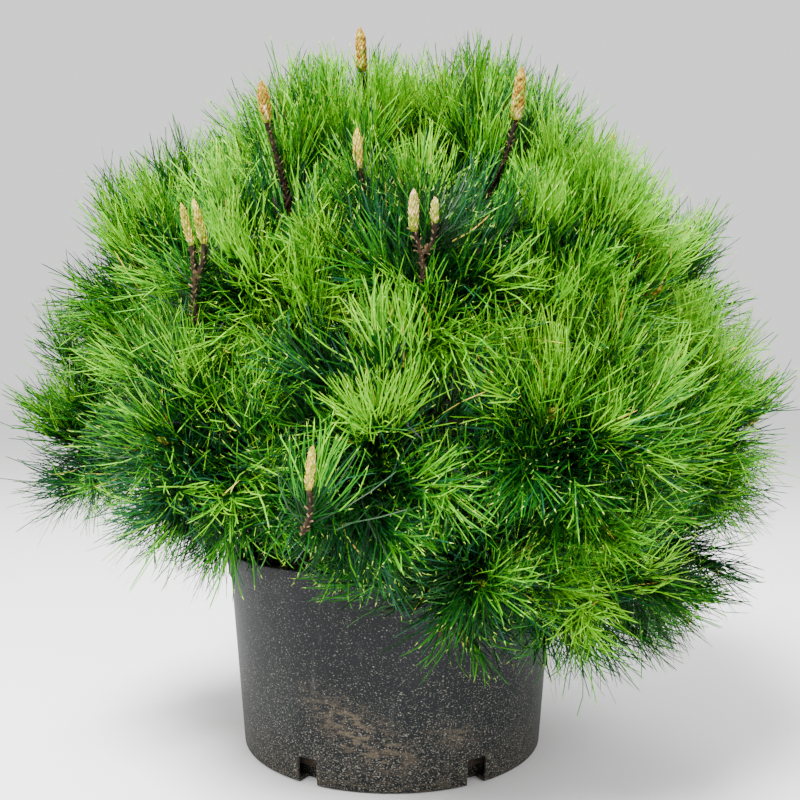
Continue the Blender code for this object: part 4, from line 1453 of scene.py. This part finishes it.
class PINE_OT_candles(bpy.types.Operator):
    """Build the bud candles and the small buds, with their papery scales"""

    bl_idname = "pine.candles"
    bl_label = "Build Candles"

    def execute(self, context):
        chance = random.Random(f"{SEED} candles")
        tan = candle_material("candle_scales_tan", "4A3008", "8A6414", "BC9230")
        gold = candle_material("candle_scales_gold", "9A7014", "D0A43C", "F0D284")
        cream = candle_material("candle_scales_cream", "8A6838", "C4A468", "ECDCB0")
        green = candle_material("candle_scales_green", "46560A", "76841C", "B4B444")
        brown = candle_material("bud_scales_brown", "34200C", "64421A", "A07838")
        dealt = {"tan": [], "gold": [], "cream": [], "green": [], "brown": []}
        bodies = []
        for number, (foot, tip, _) in enumerate(candle_places()):
            radius = CANDLE_RADIUS * SLIM_CANDLES.get(number, 1.0)
            bodies.append((foot, tip, radius))
            main = "cream" if number in CREAM_CANDLES else "gold" if number in GOLD_CANDLES else "tan"
            for scale in scale_points(foot, tip, radius, chance):
                picked = "green" if chance.random() > 0.22 + scale[3] * 1.0 else main
                dealt["cream" if chance.random() < 0.16 * (1 - scale[3]) else picked].append(scale)
        for foot, tip in bud_places(grown_masses()):
            radius = (tip - foot).length * 0.21
            bodies.append((foot, tip, radius))
            for scale in scale_points(foot, tip, radius, chance):
                dealt["tan" if chance.random() < 0.3 else "brown"].append(scale)
        add_object("candle_bodies", self.body_mesh(bodies), green)
        finishes = {"tan": tan, "gold": gold, "cream": cream, "green": green, "brown": brown}
        for name, finish in finishes.items():
            spots, turns, sizes, _ = zip(*dealt[name])
            papery = scattered(f"{name}_scales", spots, turns, sizes, scale_mesh(), finish)
            add_object(f"{name}_bud_scales", joined(f"{name}_bud_scales", [papery]), finish)
        stubs = [stub for _, _, stem in candle_places() for stub in self.stem_stubs(stem, chance)]
        pale = candle_material("old_needle_bases_pale", "241A0E", "4E3C24", "8E7A54")
        rough = scattered("stubs", *zip(*stubs), stub_mesh(), pale)
        add_object("stem_stubs", joined("stem_stubs", [rough]), pale)
        return {"FINISHED"}

    @staticmethod
    def body_mesh(bodies):
        rows, sides = 9, 8
        verts, faces = [], []
        for foot, tip, radius in bodies:
            start = len(verts)
            verts += spindle(foot, tip, radius * 0.9, rows, sides)
            for i in range(rows):
                for k in range(sides):
                    a, b = start + i * sides + k, start + i * sides + (k + 1) % sides
                    faces.append((a, b, b + sides, a + sides))
            faces.append(tuple(start + k for k in reversed(range(sides))))
            faces.append(tuple(start + rows * sides + k for k in range(sides)))
        body = bpy.data.meshes.new("candle_bodies")
        body.from_pydata(verts, [], faces)
        return joined("candle_bodies", [body])

    @staticmethod
    def stem_stubs(stem, chance):
        """Places, turns and sizes of the old needle bases that stand out of a bare stem."""
        found = []
        count = round((stem[0] - stem[-1]).length / STUB_STEP)
        for n in range(count):
            place = (n + 0.5) / count * (len(stem) - 1)
            i = min(int(place), len(stem) - 2)
            way = (stem[i + 1] - stem[i]).normalized()
            flat, rise = across(way)
            angle = math.radians(GOLDEN_ANGLE * n + chance.uniform(-50, 50))
            out = flat * math.cos(angle) + rise * math.sin(angle)
            spot = stem[i].lerp(stem[i + 1], place - i) + out * CANDLE_STEM_RADIUS * 0.7
            turn = (out + way * chance.uniform(0.5, 1.3)).to_track_quat("Z", "Y").to_euler()
            found.append((tuple(spot), tuple(turn), chance.uniform(0.6, 1.25)))
        return found


class PINE_OT_stage(bpy.types.Operator):
    """Set up the camera, the lights, the world and the plain floor"""

    bl_idname = "pine.stage"
    bl_label = "Set Stage"

    def execute(self, context):
        self.camera(context.scene)
        self.world(context.scene)
        self.floor(context.scene)
        self.lamp("key", (-0.8, -1.2, 2.6), 1.1, 330)
        self.lamp("fill", (1.8, -1.4, 1.5), 1.8, 30)
        self.lamp("back", (0.4, 1.9, 2.2), 1.4, 30)
        return {"FINISHED"}

    @staticmethod
    def camera(scene):
        data = bpy.data.cameras.new("camera")
        data.sensor_width = SENSOR_MM
        data.lens = FOCAL_PIXELS / PICTURE_PIXELS * SENSOR_MM
        data.shift_x = (PICTURE_PIXELS / 2 - AXIS_PIXEL) / PICTURE_PIXELS
        data.dof.use_dof = False
        camera = bpy.data.objects.new("camera", data)
        camera.location = (0.0, -CAMERA_DISTANCE, CAMERA_HEIGHT)
        camera.rotation_euler = (math.radians(90), 0.0, 0.0)
        scene.collection.objects.link(camera)
        scene.camera = camera

    @staticmethod
    def world(scene):
        world = bpy.data.worlds.new("studio")
        world.use_nodes = True
        sky = world.node_tree.nodes["Background"]
        sky.inputs["Color"].default_value = (1.0, 1.0, 1.0, 1.0)
        sky.inputs["Strength"].default_value = 1.2
        scene.world = world

    @staticmethod
    def floor(scene):
        mesh = bpy.data.meshes.new("floor")
        half = 30.0
        mesh.from_pydata([(-half, -half, 0), (half, -half, 0), (half, half, 0), (-half, half, 0)], [], [(0, 1, 2, 3)])
        made, graph, shader = new_material("plain_floor")
        shader.inputs["Base Color"].default_value = (0.93, 0.93, 0.93, 1.0)
        shader.inputs["Roughness"].default_value = 0.9
        mesh.materials.append(made)
        floor = bpy.data.objects.new("floor", mesh)
        floor.location.z = -0.0005
        scene.collection.objects.link(floor)

    @staticmethod
    def lamp(name, place, size, power):
        data = bpy.data.lights.new(name, "AREA")
        data.size = size
        data.energy = power
        lamp = bpy.data.objects.new(name, data)
        lamp.location = place
        lamp.rotation_euler = (CROWN_CENTRE - Vector(place)).to_track_quat("-Z", "Y").to_euler()
        bpy.context.scene.collection.objects.link(lamp)


class PINE_PT_panel(bpy.types.Panel):
    """The pine's settings and its building steps"""

    bl_idname = "PINE_PT_panel"
    bl_label = "Potted Pine"
    bl_space_type = "VIEW_3D"
    bl_region_type = "UI"
    bl_category = "Potted Pine"

    def draw(self, context):
        settings = context.scene.pine_settings
        column = self.layout.column()
        for name in ("density", "crumbs", "pot_steps"):
            column.prop(settings, name)
        for operator in OPERATORS:
            column.operator(operator.bl_idname)


OPERATORS = (PINE_OT_pot, PINE_OT_soil, PINE_OT_limbs, PINE_OT_needles, PINE_OT_candles, PINE_OT_stage)
CLASSES = (PineSettings,) + OPERATORS + (PINE_PT_panel,)


def register():
    for cls in CLASSES:
        bpy.utils.register_class(cls)
    bpy.types.Scene.pine_settings = bpy.props.PointerProperty(type=PineSettings)


def unregister():
    del bpy.types.Scene.pine_settings
    for cls in reversed(CLASSES):
        bpy.utils.unregister_class(cls)


def main():
    register()
    bpy.ops.pine.pot()
    bpy.ops.pine.soil()
    bpy.ops.pine.limbs()
    bpy.ops.pine.needles()
    bpy.ops.pine.candles()
    bpy.ops.pine.stage()
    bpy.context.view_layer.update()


if __name__ == "__main__":
    main()
